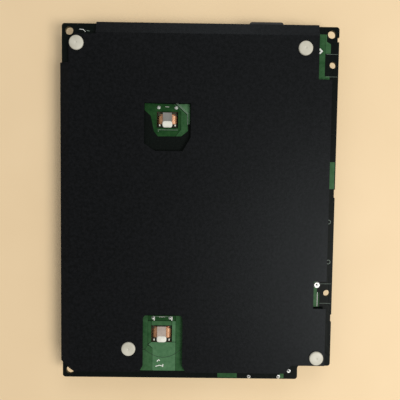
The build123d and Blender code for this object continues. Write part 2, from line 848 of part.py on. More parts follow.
output_row_depth = 2 * (device_length + device_lead_reach) - heatsink_width
output_header_top = bottom + output_rise + output_width / 2
led_header_top = bottom + led_depth
left_column = share_out(
    y_row - y_capacitor_diameter / 2 - lead_thickness,
    output_header_top,
    [
        flat_depth(main_transformer_size),
        flat_depth(main_transformer_size),
        output_row_depth,
        output_can_length + 2 * lead_reach,
    ],
)
right_column = share_out(
    primary_bottom,
    led_header_top,
    [
        flat_depth(boost_choke_size),
        bulk_count * bulk_pitch,
        flat_depth(standby_transformer_size),
        jumper_length,
    ],
)
chip_span = chip_width + 2 * chip_leg_reach
middle_column = share_out(
    primary_bottom,
    led_header_top,
    [film_count * film_pitch, chip_span, chip_span, coupler_count * coupler_pitch]
    + [inductor_size] * inductor_count,
)
bulk_left = right - bulk_inset - bulk_length / 2 - bung_length - lead_reach
middle_column_x = (choke_right + bulk_left) / 2

secondary, packages, secondary_clips = heatsink_group(
    left + secondary_heatsink_inset, left_column[2], [transistor] * rectifier_count
)
keep("secondary_heatsink", *secondary)
keep("output_rectifiers", *packages)
keep("heatsink_clips", *primary_clips, *secondary_clips)


# ==== Flat transformers and the boost choke ====
def flat_transformer(prefix, x, y, size, pin_count):
    """Two flat E halves close round a coil on a flanged bobbin. The bobbin's rails stand on the
    board on both sides and carry the pins."""
    core_x, core_y, outer_leg, post_x, post_y, build = size
    seat = flat_core_seat
    rise = tall_part_height - seat
    cavity_x = core_x - 2 * outer_leg
    cavity_z = seat + flat_plate
    cavity_height = rise - 2 * flat_plate
    core = block(0, 0, seat, core_x, core_y, rise)
    core -= block(0, 0, cavity_z, cavity_x, core_y, cavity_height)
    core += block(0, 0, cavity_z, post_x, post_y, cavity_height)
    lower = block(0, 0, seat, core_x, core_y, rise / 2)
    halves = [core & lower, core - lower]

    inner_x = post_x + 2 * bobbin_clearance
    inner_y = post_y + 2 * bobbin_clearance
    hub_x = inner_x + 2 * bobbin_wall
    hub_y = inner_y + 2 * bobbin_wall
    coil_x = hub_x + 2 * build
    coil_y = hub_y + 2 * build
    flange_x = coil_x + 2 * winding_margin
    flange_y = coil_y + 2 * winding_margin
    bobbin = block(0, 0, cavity_z, hub_x, hub_y, cavity_height)
    for base in (cavity_z, cavity_z + cavity_height - flange_thickness):
        bobbin += block(0, 0, base, flange_x, flange_y, flange_thickness)
    rail_inner = core_y / 2 + bobbin_clearance
    rail_y = rail_inner + rail_depth / 2
    rail_height = cavity_z + flange_thickness
    for side in (-1, 1):
        bobbin += block(0, side * rail_y, 0, flange_x, rail_depth, rail_height)
    bobbin -= block(0, 0, cavity_z, inner_x, inner_y, cavity_height)
    coil_z = cavity_z + flange_thickness
    coil_height = cavity_height - 2 * flange_thickness
    coil = block(0, 0, coil_z, coil_x, coil_y, coil_height)
    coil = chamfer(coil.edges().filter_by(Axis.Z), winding_corner)
    coil -= block(0, 0, coil_z, hub_x, hub_y, coil_height)

    pitch = (flange_x - rail_depth) / (pin_count - 1)
    pins = []
    for side in (-1, 1):
        for index in range(pin_count):
            pins.append(((index - (pin_count - 1) / 2) * pitch, side * rail_y))
    placed = hang([*halves, bobbin, coil], x, y, 0, pins)
    keep(f"{prefix}_core", placed[0], placed[1])
    keep(f"{prefix}_bobbin", placed[2])
    keep(f"{prefix}_winding", placed[3])


boost_choke_x = right - boost_choke_inset
flat_transformer(
    "boost_choke", boost_choke_x, right_column[0], boost_choke_size, boost_choke_pin_count
)
for number in (1, 2):
    flat_transformer(
        f"main_transformer_{number}",
        left + main_transformer_inset,
        left_column[number - 1],
        main_transformer_size,
        main_transformer_pin_count,
    )
flat_transformer(
    "standby_transformer",
    right - standby_transformer_inset,
    right_column[2],
    standby_transformer_size,
    standby_transformer_pin_count,
)


# ==== Lying capacitors ====
def lying_can(radius, length, bung):
    """A sleeved can that lies along X, with two bent leads out of its sealed end. A bung, where
    it has one, stands a little proud of the crimped rim."""
    height = can_lift + radius
    can = Pos(0, 0, height) * Rot(0, 90, 0) * Cylinder(radius, length)
    pitch = radius
    end = length / 2
    if bung:
        end += bung_length
        disc = Rot(0, 90, 0) * Cylinder(radius - bung_step, bung_length)
        can += Pos(end - bung_length / 2, 0, height) * disc
    pins = []
    for side in (-1, 1):
        can += Pos(0, side * pitch / 2, 0) * bent_lead(end, height, lead_reach, 1)
        pins.append((end + lead_reach - lead_thickness / 2, side * pitch / 2))
    return can, pins


for index in range(bulk_count):
    can, pins = lying_can(bulk_radius, bulk_length, True)
    can_y = right_column[1] + ((bulk_count - 1) / 2 - index) * bulk_pitch
    keep(f"bulk_capacitor_{index + 1}", *hang([can], right - bulk_inset, can_y, 180, pins))

output_cans = []
for index in range(output_can_count):
    can, pins = lying_can(output_can_radius, output_can_length, False)
    can_x = left + output_can_inset + index * output_can_pitch
    output_cans += hang([can], can_x, left_column[3], 90, pins)
keep("output_capacitors", *output_cans)

films = []
for index in range(film_count):
    body, pins = box_capacitor(film_width, film_length, film_height)
    film_y = middle_column[0] + ((film_count - 1) / 2 - index) * film_pitch
    films += hang([body], middle_column_x, film_y, 90, pins)
keep("film_capacitors", *films)


# ==== Output chokes, chips, couplers and jumper wires ====
def legged_package(length, width, height, leg_count, leg_reach, pitch):
    """A moulded package lifted a little, with a row of legs along each long side."""
    body = block(0, 0, chip_lift, length, width, height - chip_lift)
    for side in (-1, 1):
        for index in range(leg_count):
            x = (index - (leg_count - 1) / 2) * pitch
            y = side * (width + leg_reach) / 2
            body += block(x, y, 0, chip_leg_width, leg_reach, height / 2)
    return body


inductors = []
for index in range(inductor_count):
    body, pins = box_capacitor(inductor_size, inductor_size, inductor_height)
    inductors += hang([body], middle_column_x, middle_column[4 + index], 0, pins)
keep("output_chokes", *inductors)

chip_places = [
    (left + driver_chip_inset, top - driver_chip_drop),
    (middle_column_x, middle_column[1]),
    (middle_column_x, middle_column[2]),
]
chips = []
for x, y in chip_places:
    chip = legged_package(
        chip_length, chip_width, chip_height, chip_leg_count, chip_leg_reach, chip_leg_pitch
    )
    chips += hang([chip], x, y)
keep("control_chips", *chips)

couplers = []
for index in range(coupler_count):
    coupler = legged_package(
        coupler_length,
        coupler_width,
        coupler_height,
        coupler_leg_count,
        coupler_leg_reach,
        device_lead_pitch,
    )
    coupler_y = middle_column[3] + ((coupler_count - 1) / 2 - index) * coupler_pitch
    couplers += hang([coupler], middle_column_x, coupler_y)
keep("optocouplers", *couplers)

bulk_row_end = right_column[1] - bulk_count * bulk_pitch / 2
jumper_places = [
    (left + input_jumper[0], top - input_jumper[1], input_jumper[2]),
    (right - corner_jumper_inset, bulk_row_end - corner_jumper_gap, 0),
    (middle_column_x + chip_length / 2 + chip_jumper_gap, middle_column[1], 1),
]
jumper_places += [(right - inset, bottom + rise, along) for inset, rise, along in return_jumpers]
jumper_places += [(right - inset, right_column[3], 1) for inset in crossing_jumper_insets]
jumpers = []
for x, y, along in jumper_places:
    foot_x = (jumper_length - lead_thickness) / 2
    height = jumper_height - lead_thickness
    wire = block(0, 0, height, jumper_length, lead_thickness, lead_thickness)
    for side in (-1, 1):
        wire += block(side * foot_x, 0, 0, lead_thickness, lead_thickness, height)
    jumpers += hang([wire], x, y, 90 * along, [(-foot_x, 0), (foot_x, 0)])
keep("jumper_wires", *jumpers)


# ==== Connectors ====
def output_connector():
    """A box header that opens away from the board, with two rows of square pins."""
    span = (output_columns - 1) * pin_pitch
    length = span + 2 * output_end
    housing = block(0, 0, 0, length, output_width, output_height)
    hollow_x = length - 2 * housing_wall
    hollow_y = output_width - 2 * housing_wall
    housing -= block(0, 0, housing_floor, hollow_x, hollow_y, output_height - housing_floor)
    key_height = output_height / 2
    key_y = (output_width - housing_wall) / 2
    housing -= block(0, key_y, key_height, 2 * output_end, housing_wall, output_height - key_height)
    pins = []
    posts = []
    for row in range(output_rows):
        for column in range(output_columns):
            x = (column - (output_columns - 1) / 2) * pin_pitch
            y = (row - (output_rows - 1) / 2) * pin_pitch
            pins.append((x, y))
            height = output_height - pin_stop - housing_floor
            posts.append(block(x, y, housing_floor, pin_thickness, pin_thickness, height))
    return housing, posts, pins


def led_connector():
    """A low side-entry header that opens past the board's end, held down by a tab at each end."""
    housing = block(0, 0, 0, led_width, led_depth, led_height)
    hollow = led_height - 2 * housing_wall
    hollow_depth = led_depth - housing_floor
    cavity_y = housing_floor / 2
    housing -= block(0, cavity_y, housing_wall, led_width - 2 * output_end, hollow_depth, hollow)
    pins = []
    posts = []
    inner_y = housing_floor - led_depth / 2
    post_length = hollow_depth - pin_stop
    for index in range(led_pins):
        x = (index - (led_pins - 1) / 2) * pin_pitch
        middle_y = inner_y + post_length / 2
        middle_z = (led_height - pin_thickness) / 2
        posts.append(block(x, middle_y, middle_z, pin_thickness, post_length, pin_thickness))
        pins.append((x, inner_y - housing_floor / 2))
    return housing, posts, pins


housing, posts, pins = output_connector()
output_x = left + output_inset
placed = hang([housing, *posts], output_x, bottom + output_rise, 0, pins)
keep("output_connector_housing", placed[0])
keep("output_connector_pins", *placed[1:])

housing, posts, pins = led_connector()
led_x = right - led_inset
placed = hang([housing, *posts], led_x, bottom + led_depth / 2, 0, pins)
keep("led_connector_housing", placed[0])
keep("led_connector_pins", *placed[1:])


# ==== Solder joints on the upper face ====
def solder_joint(x, y, radius):
    """A peak of solder round the tip of a lead, kept to a few faces."""
    foot = RegularPolygon(radius, joint_sides).face()
    return Pos(x, y, board_top) * loft([foot, Vertex(0, 0, joint_height)])


joints = [solder_joint(x, y, joint_radius) for x, y in joint_places]
for side in (-1, 1):
    tab_x = led_x + side * led_tab_pitch / 2
    joints.append(solder_joint(tab_x, bottom + led_tab_inset, edge_joint_radius))
keep("solder_joints", *joints)


# ==== Write every node, centred on the whole part and standing on the bench ====
middle_x = (right + left - flap_overhang) / 2
middle_y = (inlet_front + bottom) / 2
os.makedirs("parts", exist_ok=True)
for name, shape in nodes.items():
    export_step(Pos(-middle_x, -middle_y, 0) * shape, f"parts/{name}.step")
print(len(nodes), "nodes,", len(joints), "solder joints")
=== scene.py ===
import math

import bmesh
import bpy
import numpy as np
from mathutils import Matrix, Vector


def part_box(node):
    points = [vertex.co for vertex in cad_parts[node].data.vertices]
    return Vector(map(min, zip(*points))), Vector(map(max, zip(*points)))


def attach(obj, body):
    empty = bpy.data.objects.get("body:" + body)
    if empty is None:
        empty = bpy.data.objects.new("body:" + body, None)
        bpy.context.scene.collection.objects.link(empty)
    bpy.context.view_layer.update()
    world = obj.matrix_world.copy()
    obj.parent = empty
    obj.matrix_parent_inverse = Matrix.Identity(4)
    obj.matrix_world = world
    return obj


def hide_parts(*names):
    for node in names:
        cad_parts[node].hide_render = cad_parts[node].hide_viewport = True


# Power supply board of a large flat television, lying on its parts with the solder side up. A
# folded black insulating sheet is riveted over that side, and two small sunken chokes show through
# it.
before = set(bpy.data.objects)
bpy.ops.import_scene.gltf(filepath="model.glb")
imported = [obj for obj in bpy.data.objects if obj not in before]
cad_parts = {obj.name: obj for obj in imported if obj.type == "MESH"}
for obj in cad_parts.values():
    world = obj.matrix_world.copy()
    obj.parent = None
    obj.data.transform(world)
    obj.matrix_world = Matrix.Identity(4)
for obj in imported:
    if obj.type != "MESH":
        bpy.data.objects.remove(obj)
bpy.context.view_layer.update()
MM = 0.001


# ==== Circuit board ====
# A glass-fibre laminate, pressed, drilled and milled. Both faces wear a dark green solder mask,
# and the milled edges and hole walls show the straw-coloured laminate.
def new_material(name, glossy=0.5):
    """A material with only its shader: gives the material, its node tree and the shader."""
    material = bpy.data.materials.new(name)
    material.use_nodes = True
    shader = material.node_tree.nodes["Principled BSDF"]
    shader.inputs["Specular IOR Level"].default_value = glossy
    return material, material.node_tree, shader


def add(tree, kind, inputs, **options):
    """A node of this kind. An input that is a socket is linked and any other is set as a number."""
    node = tree.nodes.new("ShaderNode" + kind)
    for key, value in options.items():
        setattr(node, key, value)
    for key, value in inputs.items():
        if isinstance(value, bpy.types.NodeSocket):
            tree.links.new(value, node.inputs[key])
        else:
            node.inputs[key].default_value = value
    return node


def ramp(tree, factor, dark, light, start=0.3, end=0.7):
    """The dark colour up to the factor's start and the light one from its end on."""
    node = add(tree, "ValToRGB", {"Fac": factor})
    for point, place, colour in zip(node.color_ramp.elements, (start, end), (dark, light)):
        point.position = place
        point.color = (*colour, 1.0)
    return node.outputs["Color"]


def level(tree, factor, low, high, start=0.0, end=1.0):
    """A number that goes from low to high as the factor goes from start to end."""
    inputs = {"Value": factor, "From Min": start, "From Max": end, "To Min": low, "To Max": high}
    return add(tree, "MapRange", inputs).outputs["Result"]


def blend_colours(tree, factor, first, second):
    """The first colour where the factor is 0 and the second where it is 1."""
    return add(tree, "Mix", {0: factor, 6: first, 7: second}, data_type="RGBA").outputs[2]


def compute(tree, operation, first, second=0.5):
    """One sum on one or two numbers."""
    return add(tree, "Math", {0: first, 1: second}, operation=operation).outputs[0]


def place_on(tree, stretch=(1.0, 1.0, 1.0)):
    """Object coordinates, which are metres in the object's own frame, each times its stretch."""
    spot = add(tree, "TexCoord", {}).outputs["Object"]
    return add(tree, "Mapping", {"Vector": spot, "Scale": stretch}).outputs["Vector"]


def noise(tree, spot, size_mm, detail=3.0, rough=0.5):
    """Cloudy noise whose largest lumps are about size_mm across."""
    inputs = {"Vector": spot, "Scale": 1000.0 / size_mm, "Detail": detail, "Roughness": rough}
    return add(tree, "TexNoise", inputs).outputs["Fac"]


def dress(tree, shader, colour, gloss, height=None, depth_mm=0.0):
    """Colour, roughness, and bump from a height between 0 and 1 that stands for depth_mm."""
    tree.links.new(colour, shader.inputs["Base Color"])
    tree.links.new(gloss, shader.inputs["Roughness"])
    if height is not None:
        bump = add(tree, "Bump", {"Height": height, "Distance": depth_mm * MM, "Strength": 1.0})
        tree.links.new(bump.outputs["Normal"], shader.inputs["Normal"])


def wear(material, *node_names):
    """CAD nodes that keep their shape and take this finish."""
    for node_name in node_names:
        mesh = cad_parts[node_name].data
        mesh.materials.clear()
        mesh.materials.append(material)


def corners_of(node_name):
    """Lowest and highest corner of a node's box."""
    low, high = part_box(node_name)
    return np.array(low), np.array(high)


def board_finish():
    """Dark mask above. Below, straight-sided pours of several greens with dark gaps: cells of a
    Voronoi pattern, each with its own shade, and a thin line where two cells meet."""
    material, tree, shader = new_material("solder_mask_board", 0.055)
    cell_pattern = {"Vector": place_on(tree, (1.0, 1.0, 0.0)), "Scale": 50.0, "Randomness": 0.62}
    nearest = add(tree, "TexVoronoi", cell_pattern, distance="CHEBYCHEV").outputs
    second = add(tree, "TexVoronoi", cell_pattern, distance="CHEBYCHEV", feature="F2").outputs
    shade = add(tree, "SeparateColor", {"Color": nearest["Color"]}).outputs["Red"]
    spread = compute(tree, "SUBTRACT", second["Distance"], nearest["Distance"])
    pours = ramp(tree, shade, (0.022, 0.078, 0.030), (0.042, 0.125, 0.050), 0.15, 0.9)
    copper = compute(tree, "GREATER_THAN", spread, 0.035)
    below = blend_colours(tree, copper, (0.010, 0.030, 0.014, 1.0), pours)
    weave = noise(tree, place_on(tree), 0.9, 2.0)
    bare = ramp(tree, weave, (0.0024, 0.0038, 0.0032), (0.0044, 0.0066, 0.0056))
    normal = add(tree, "NewGeometry", {}).outputs["Normal"]
    up = add(tree, "SeparateXYZ", {"Vector": normal}).outputs["Z"]
    faces = blend_colours(tree, compute(tree, "GREATER_THAN", up, 0.0), below, bare)
    flat = compute(tree, "GREATER_THAN", compute(tree, "ABSOLUTE", up), 0.5)
    fibre = noise(tree, place_on(tree, (1.0, 1.0, 5.0)), 0.8, 4.0)
    cut = ramp(tree, fibre, (0.085, 0.068, 0.036), (0.150, 0.120, 0.066), 0.3, 0.75)
    colour = blend_colours(tree, flat, cut, faces)
    gloss = level(tree, weave, 0.34, 0.52)
    dress(tree, shader, colour, gloss, level(tree, spread, 0.0, 1.0, 0.02, 0.05), 0.03)
    return material


wear(board_finish(), "circuit_board")
board_low, board_high = corners_of("circuit_board")
deck = board_high[2]
underside = board_low[2]


# ==== Copper pours on the solder side ====
# Etched copper areas under the green mask, a few hundredths of a millimetre proud of the laminate.
# They show in the sheet's openings and past its edge, and stop short of the board's own edge.
def mottled(
    name, dark, light, cloud, rough, grain=None, relief_mm=0.0, glossy=0.5,
    rough_follows="cloud", spread=(0.3, 0.7), stretch=(1.0, 1.0, 1.0), **values,
):
    """A finish of two close shades in a cloudy noise. Its roughness follows the cloud or a finer
    grain, and the grain raises the surface, or the cloud where there is no grain. A noise is its
    size in millimetres, detail and roughness, and values go to the shader's inputs by name."""
    material, tree, shader = new_material(name, glossy)
    spot = place_on(tree, stretch)
    cloudy = noise(tree, spot, *cloud)
    fine = noise(tree, spot, *grain) if grain else cloudy
    gloss = level(tree, cloudy if rough_follows == "cloud" else fine, *rough)
    colour = ramp(tree, cloudy, dark, light, *spread)
    dress(tree, shader, colour, gloss, fine if relief_mm else None, relief_mm)
    for key, value in values.items():
        shader.inputs[key.replace("_", " ").title()].default_value = value
    return material


def joined(parts):
    """Several (points, faces) put into one, with each part's faces counted on."""
    faces = []
    count = 0
    for points, part_faces in parts:
        faces += [[index + count for index in face] for face in part_faces]
        count += len(points)
    return np.concatenate([points for points, _ in parts]), faces


def make_piece(name, groups, replaces=(), crease=35.0):
    """An object in metres from groups of (material, parts). Doubles within a micrometre are merged,
    which closes seams and poles, and faces that meet at more than crease degrees stay sharp."""
    points, faces = joined([part for _, parts in groups for part in parts])
    counts = [sum(len(part[1]) for part in parts) for _, parts in groups]
    mesh = bpy.data.meshes.new(name)
    mesh.from_pydata(points.tolist(), [], faces)
    for material, _ in groups:
        mesh.materials.append(material)
    mesh.polygons.foreach_set("material_index", np.repeat(np.arange(len(groups)), counts))
    clean = bmesh.new()
    clean.from_mesh(mesh)
    bmesh.ops.remove_doubles(clean, verts=clean.verts, dist=1e-6)
    clean.to_mesh(mesh)
    clean.free()
    mesh.shade_smooth()
    mesh.set_sharp_from_angle(angle=math.radians(crease))
    piece = bpy.data.objects.new(name, mesh)
    bpy.context.scene.collection.objects.link(piece)
    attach(piece, "root")
    if replaces:
        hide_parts(*replaces)
    return piece


def eased(corners, before, after, radius, steps):
    """Each corner as an arc: the control point of a quadratic curve that starts and ends radius
    away from it, towards the points before and after it."""
    before, after = before - corners, after - corners
    start = corners + before * (radius / np.linalg.norm(before, axis=1))[:, None]
    end = corners + after * (radius / np.linalg.norm(after, axis=1))[:, None]
    t = np.linspace(0.0, 1.0, steps + 1)[None, :, None]
    arcs = (1 - t) ** 2 * start[:, None] + 2 * t * (1 - t) * corners[:, None] + t**2 * end[:, None]
    return arcs.reshape(-1, corners.shape[1])


def rounded_outline(corners, radius, steps=4):
    """A closed outline whose corners are eased."""
    corners = np.array(corners, float)
    return eased(corners, np.roll(corners, 1, axis=0), np.roll(corners, -1, axis=0), radius, steps)


def ring_skin(rings, closed=False):
    """Quads between neighbouring rings, rings[i, j]. A face covers each end ring, or the last ring
    joins the first where closed is true."""
    rows, columns = rings.shape[:2]
    i = np.arange(rows if closed else rows - 1)[:, None] * columns
    j = np.arange(columns)[None, :]
    k = (j + 1) % columns
    after = (i + columns) % (rows * columns)
    quads = np.stack([i + j, i + k, after + k, after + j], axis=-1).reshape(-1, 4).tolist()
    last = (rows - 1) * columns
    ends = [list(range(columns))[::-1], list(range(last, last + columns))]
    return rings.reshape(-1, 3), quads if closed else quads + ends


def at_height(outline, z):
    """An outline in X and Y, raised to a height."""
    return np.column_stack([outline, np.full(len(outline), z)])


def plate(outline, base, height):
    """A flat plate: the outline at base and again at base + height, with sides between."""
    return ring_skin(np.stack([at_height(outline, base), at_height(outline, base + height)]))


def anticlockwise(outline):
    """The outline in the order that makes a plate's faces point outwards."""
    outline = np.array(outline, float)
    x, y = outline.T
    area = (x * np.roll(y, -1) - y * np.roll(x, -1)).sum()
    return outline if area > 0 else outline[::-1]


def mm_from(origin, corners):
    """Corners given in millimetres from an origin, in metres."""
    return np.array(origin)[:2] + np.array(corners, float) * MM


upper_core = np.mean(corners_of("upper_choke_core"), axis=0)
lower_core = np.mean(corners_of("lower_choke_core"), axis=0)
far_corner = board_high[:2]
near_corner = np.array([board_high[0], board_low[1]])
copper_rise = 0.05 * MM
copper_bend = 0.25 * MM

# Each pour has its darkest and lightest green, and the corners of its areas in millimetres from a
# core's middle or from a corner of the board.
pours = {
    "pour_deep": ((0.007, 0.038, 0.010), (0.017, 0.064, 0.018), [
        (upper_core, [
            (-12.8, 9.0), (0.0, 8.7), (0.0, 4.5), (-6.0, 4.5), (-6.0, -4.5), (0.0, -4.5),
            (0.0, -9.2), (-5.2, -9.3), (-7.5, -6.5), (-9.3, 2.1), (-12.8, 5.2),
        ]),
        (upper_core, [
            (0.02, 8.7), (2.9, 8.6), (7.5, 4.3), (7.5, -5.2), (4.4, -9.2), (0.02, -9.2),
            (0.02, -4.5), (6.0, -4.5), (6.0, 4.5), (0.02, 4.5),
        ]),
        (lower_core, [(-7.9, 10.5), (7.9, 10.5), (7.9, 7.7), (-7.9, 7.7)]),
        (near_corner, [(-8.1, 50.8), (-7.2, 50.8), (-7.2, 42.5), (-8.1, 42.5)]),
    ]),
    "pour_leaf": ((0.018, 0.066, 0.022), (0.034, 0.098, 0.038), [
        (upper_core, [
            (3.2, 8.6), (4.6, 8.5), (11.2, 2.6), (11.6, -6.0), (7.8, -9.1), (4.75, -9.15),
            (7.7, -5.3), (7.7, 4.4),
        ]),
        (lower_core, [
            (-11.2, 10.5), (-7.95, 10.5), (-7.95, -6.7), (-9.6, -9.35), (-12.6, -9.3),
            (-11.2, -6.0),
        ]),
        (lower_core, [(-7.8, 7.4), (-6.0, 7.4), (-6.0, -4.6), (-7.8, -6.0)]),
        (lower_core, [(8.15, 10.5), (14.6, 10.5), (14.6, -21.6), (8.15, -21.6)]),
        (far_corner, [
            (-11.0, -4.1), (-7.6, -4.1), (-7.6, -27.0), (-4.9, -27.0), (-4.9, -29.4),
            (-11.0, -29.4),
        ]),
        (near_corner, [(-64.9, 0.4), (-53.7, 0.4), (-53.7, 3.2), (-64.9, 3.2)]),
    ]),
    "pour_fresh": ((0.030, 0.090, 0.034), (0.046, 0.118, 0.050), [
        (lower_core, [
            (-14.5, -9.5), (-9.55, -9.5), (-7.8, -6.75), (-5.35, -8.6), (-5.35, -21.6),
            (-14.5, -21.6),
        ]),
        (lower_core, [(-5.8, 7.4), (5.8, 7.4), (5.8, 4.9), (-5.8, 4.9)]),
        (far_corner, [
            (-7.5, -4.1), (-6.9, -4.1), (-6.9, -8.1), (-4.6, -9.4), (-4.6, -14.6), (-7.5, -14.6),
        ]),
        (far_corner, [(-5.2, -74.7), (-0.5, -74.7), (-0.5, -89.9), (-5.2, -89.9)]),
        (near_corner, [(-10.6, 57.5), (-8.6, 57.5), (-8.6, 42.5), (-10.6, 42.5)]),
        (near_corner, [(-29.0, 0.4), (-26.6, 0.4), (-26.6, 3.4), (-29.0, 3.4)]),
    ]),
    "pour_pale": ((0.052, 0.135, 0.062), (0.078, 0.178, 0.086), [
        (upper_core, [(5.0, 8.6), (12.6, 8.9), (12.6, -2.4), (11.6, -2.4), (11.5, 2.8)]),
        (lower_core, [
            (-7.6, -6.35), (-6.0, -4.95), (8.0, -4.95), (8.0, -21.6), (-5.2, -21.6), (-5.2, -8.4),
        ]),
        (lower_core, [(6.0, 7.4), (8.0, 7.4), (8.0, -4.7), (6.0, -4.7)]),
    ]),
}
pour_groups = []
for shade_name, (dark, light, areas) in pours.items():
    mask = mottled(
        shade_name, dark, light, (3.2, 5.0, 0.65), (0.30, 0.46), (0.5, 2.0), 0.008, 0.06,
        rough_follows="grain", spread=(0.35, 0.65),
    )
    outlines = [anticlockwise(mm_from(origin, corners)) for origin, corners in areas]
    plates = [plate(rounded_outline(line, copper_bend), deck, copper_rise) for line in outlines]
    pour_groups.append((mask, plates))
make_piece("solder_side_pours", pour_groups)


# ==== Printed lines on both faces ====
# White ink, screen-printed: a rectangle or ring round each part's place under the board, and the
# few marks that the sheet leaves bare above it. Three white strokes in the lower opening are
# painted highlights: glints on two solder joints with their leads, and on the middle of a line.
def carried(path, across, profile):
    """A closed profile carried along a path. Its first number runs along the vector across, made
    square to the path, and its second along the cross product of the path's direction and that."""
    path = np.array(path, float)
    along = np.gradient(path, axis=0)
    along /= np.linalg.norm(along, axis=1)[:, None]
    across = np.broadcast_to(np.array(across, float), path.shape)
    across = across - (across * along).sum(axis=1)[:, None] * along
    across /= np.linalg.norm(across, axis=1)[:, None]
    first, second = np.array(profile, float).T[:, None, :, None]
    third = np.cross(along, across)
    return ring_skin(path[:, None] + first * across[:, None] + second * third[:, None])


def ribbon(path, across, width, thickness):
    """A flat strip along a path, width wide along the vector across."""
    u, v = width / 2, thickness / 2
    return carried(path, across, [(u, -v), (u, v), (-u, v), (-u, -v)])


def printed_line(corners, width, base, rise):
    """A flat line of ink along corners in X and Y, from base up to base + rise."""
    path = at_height(np.array(corners, float), base + rise / 2)
    return ribbon(path, (0.0, 0.0, 1.0), rise, width)


def printed_frame(low, high, width, base, rise):
    """Four lines of ink round a rectangle: the two along X cover its corners, and the two along Y
    stop a hundredth of a millimetre short of them, so that no two lines share an edge."""
    (x0, y0), (x1, y1) = low, high
    half = width / 2
    short = half + 0.01 * MM
    ends = [((x0 - half, y), (x1 + half, y)) for y in (y0, y1)]
    ends += [((x, y0 + short), (x, y1 - short)) for x in (x0, x1)]
    return [printed_line(line, width, base, rise) for line in ends]


def circle(centre, radius):
    """A closed round line in X and Y."""
    angle = np.linspace(0.0, 2 * np.pi, 33)
    return np.array(centre) + radius * np.column_stack([np.cos(angle), np.sin(angle)])


def boxes_in(node_name):
    """Lowest and highest corner of each separate solid in a node, from the lowest X and Y on. Each
    point takes the lowest label among its triangles' points until no label changes."""
    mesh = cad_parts[node_name].data
    points = np.empty(3 * len(mesh.vertices))
    mesh.vertices.foreach_get("co", points)
    points = points.reshape(-1, 3)
    mesh.calc_loop_triangles()
    triangles = np.empty(3 * len(mesh.loop_triangles), int)
    mesh.loop_triangles.foreach_get("vertices", triangles)
    same = np.unique(points.round(7), axis=0, return_inverse=True)[1].reshape(-1)
    triangles = same[triangles.reshape(-1, 3)]
    label = np.arange(same.max() + 1)
    settled = False
    while not settled:
        lower = label.copy()
        np.minimum.at(lower, triangles, label[triangles].min(axis=1)[:, None])
        settled = bool((lower == label).all())
        label = lower
    groups = [points[label[same] == number] for number in np.unique(label)]
    boxes = [(group.min(axis=0), group.max(axis=0)) for group in groups]
    return sorted(boxes, key=lambda box: tuple(box[0].round(4)))


# The white finish serves print and also the painted highlights in the lower opening.
print_ink_and_glints, worn_ink, dark_ink = (
    mottled(name, dark, light, (0.8, 3.0), (0.45, 0.65), glossy=0.3)
    for name, dark, light in (
        ("white_ink_and_glints", (0.60, 0.62, 0.58), (0.80, 0.81, 0.77)),
        ("worn_ink", (0.10, 0.14, 0.11), (0.20, 0.25, 0.21)),
        ("etched_gap", (0.006, 0.020, 0.009), (0.012, 0.032, 0.015)),
    )
)
ink_rise = 0.02 * MM
line_width = 0.25 * MM
ink_margin = 0.6 * MM
pairs = ("x_capacitor", "line_filter_bobbin")
framed_nodes = [f"{name}_{number}" for name in pairs for number in (1, 2)] + ["film_capacitors"]
framed_nodes += [f"bulk_capacitor_{number}" for number in (1, 2, 3, 4)]
framed_nodes += [
    "output_capacitors", "output_chokes", "main_transformer_1_core", "main_transformer_2_core",
    "boost_choke_core", "standby_transformer_core", "primary_heatsink", "secondary_heatsink",
    "output_connector_housing", "led_connector_housing", "ac_inlet_housing",
]
lines_below = []
inner_low, inner_high = board_low[:2] + line_width, board_high[:2] - line_width
for node_name in framed_nodes:
    boxes = [corners_of(node_name)] if node_name.endswith("_core") else boxes_in(node_name)
    for low, high in boxes:
        start = np.clip(low[:2] - ink_margin, inner_low, inner_high)
        end = np.clip(high[:2] + ink_margin, inner_low, inner_high)
        lines_below += printed_frame(start, end, line_width, underside - ink_rise, ink_rise)
for node_name in ("varistor", "inrush_thermistor", "y_capacitors"):
    for low, high in boxes_in(node_name):
        reach = (high - low)[:2].max() / 2 + ink_margin
        ring = circle((low + high)[:2] / 2, reach)
        lines_below.append(printed_line(ring, line_width, underside - ink_rise, ink_rise))
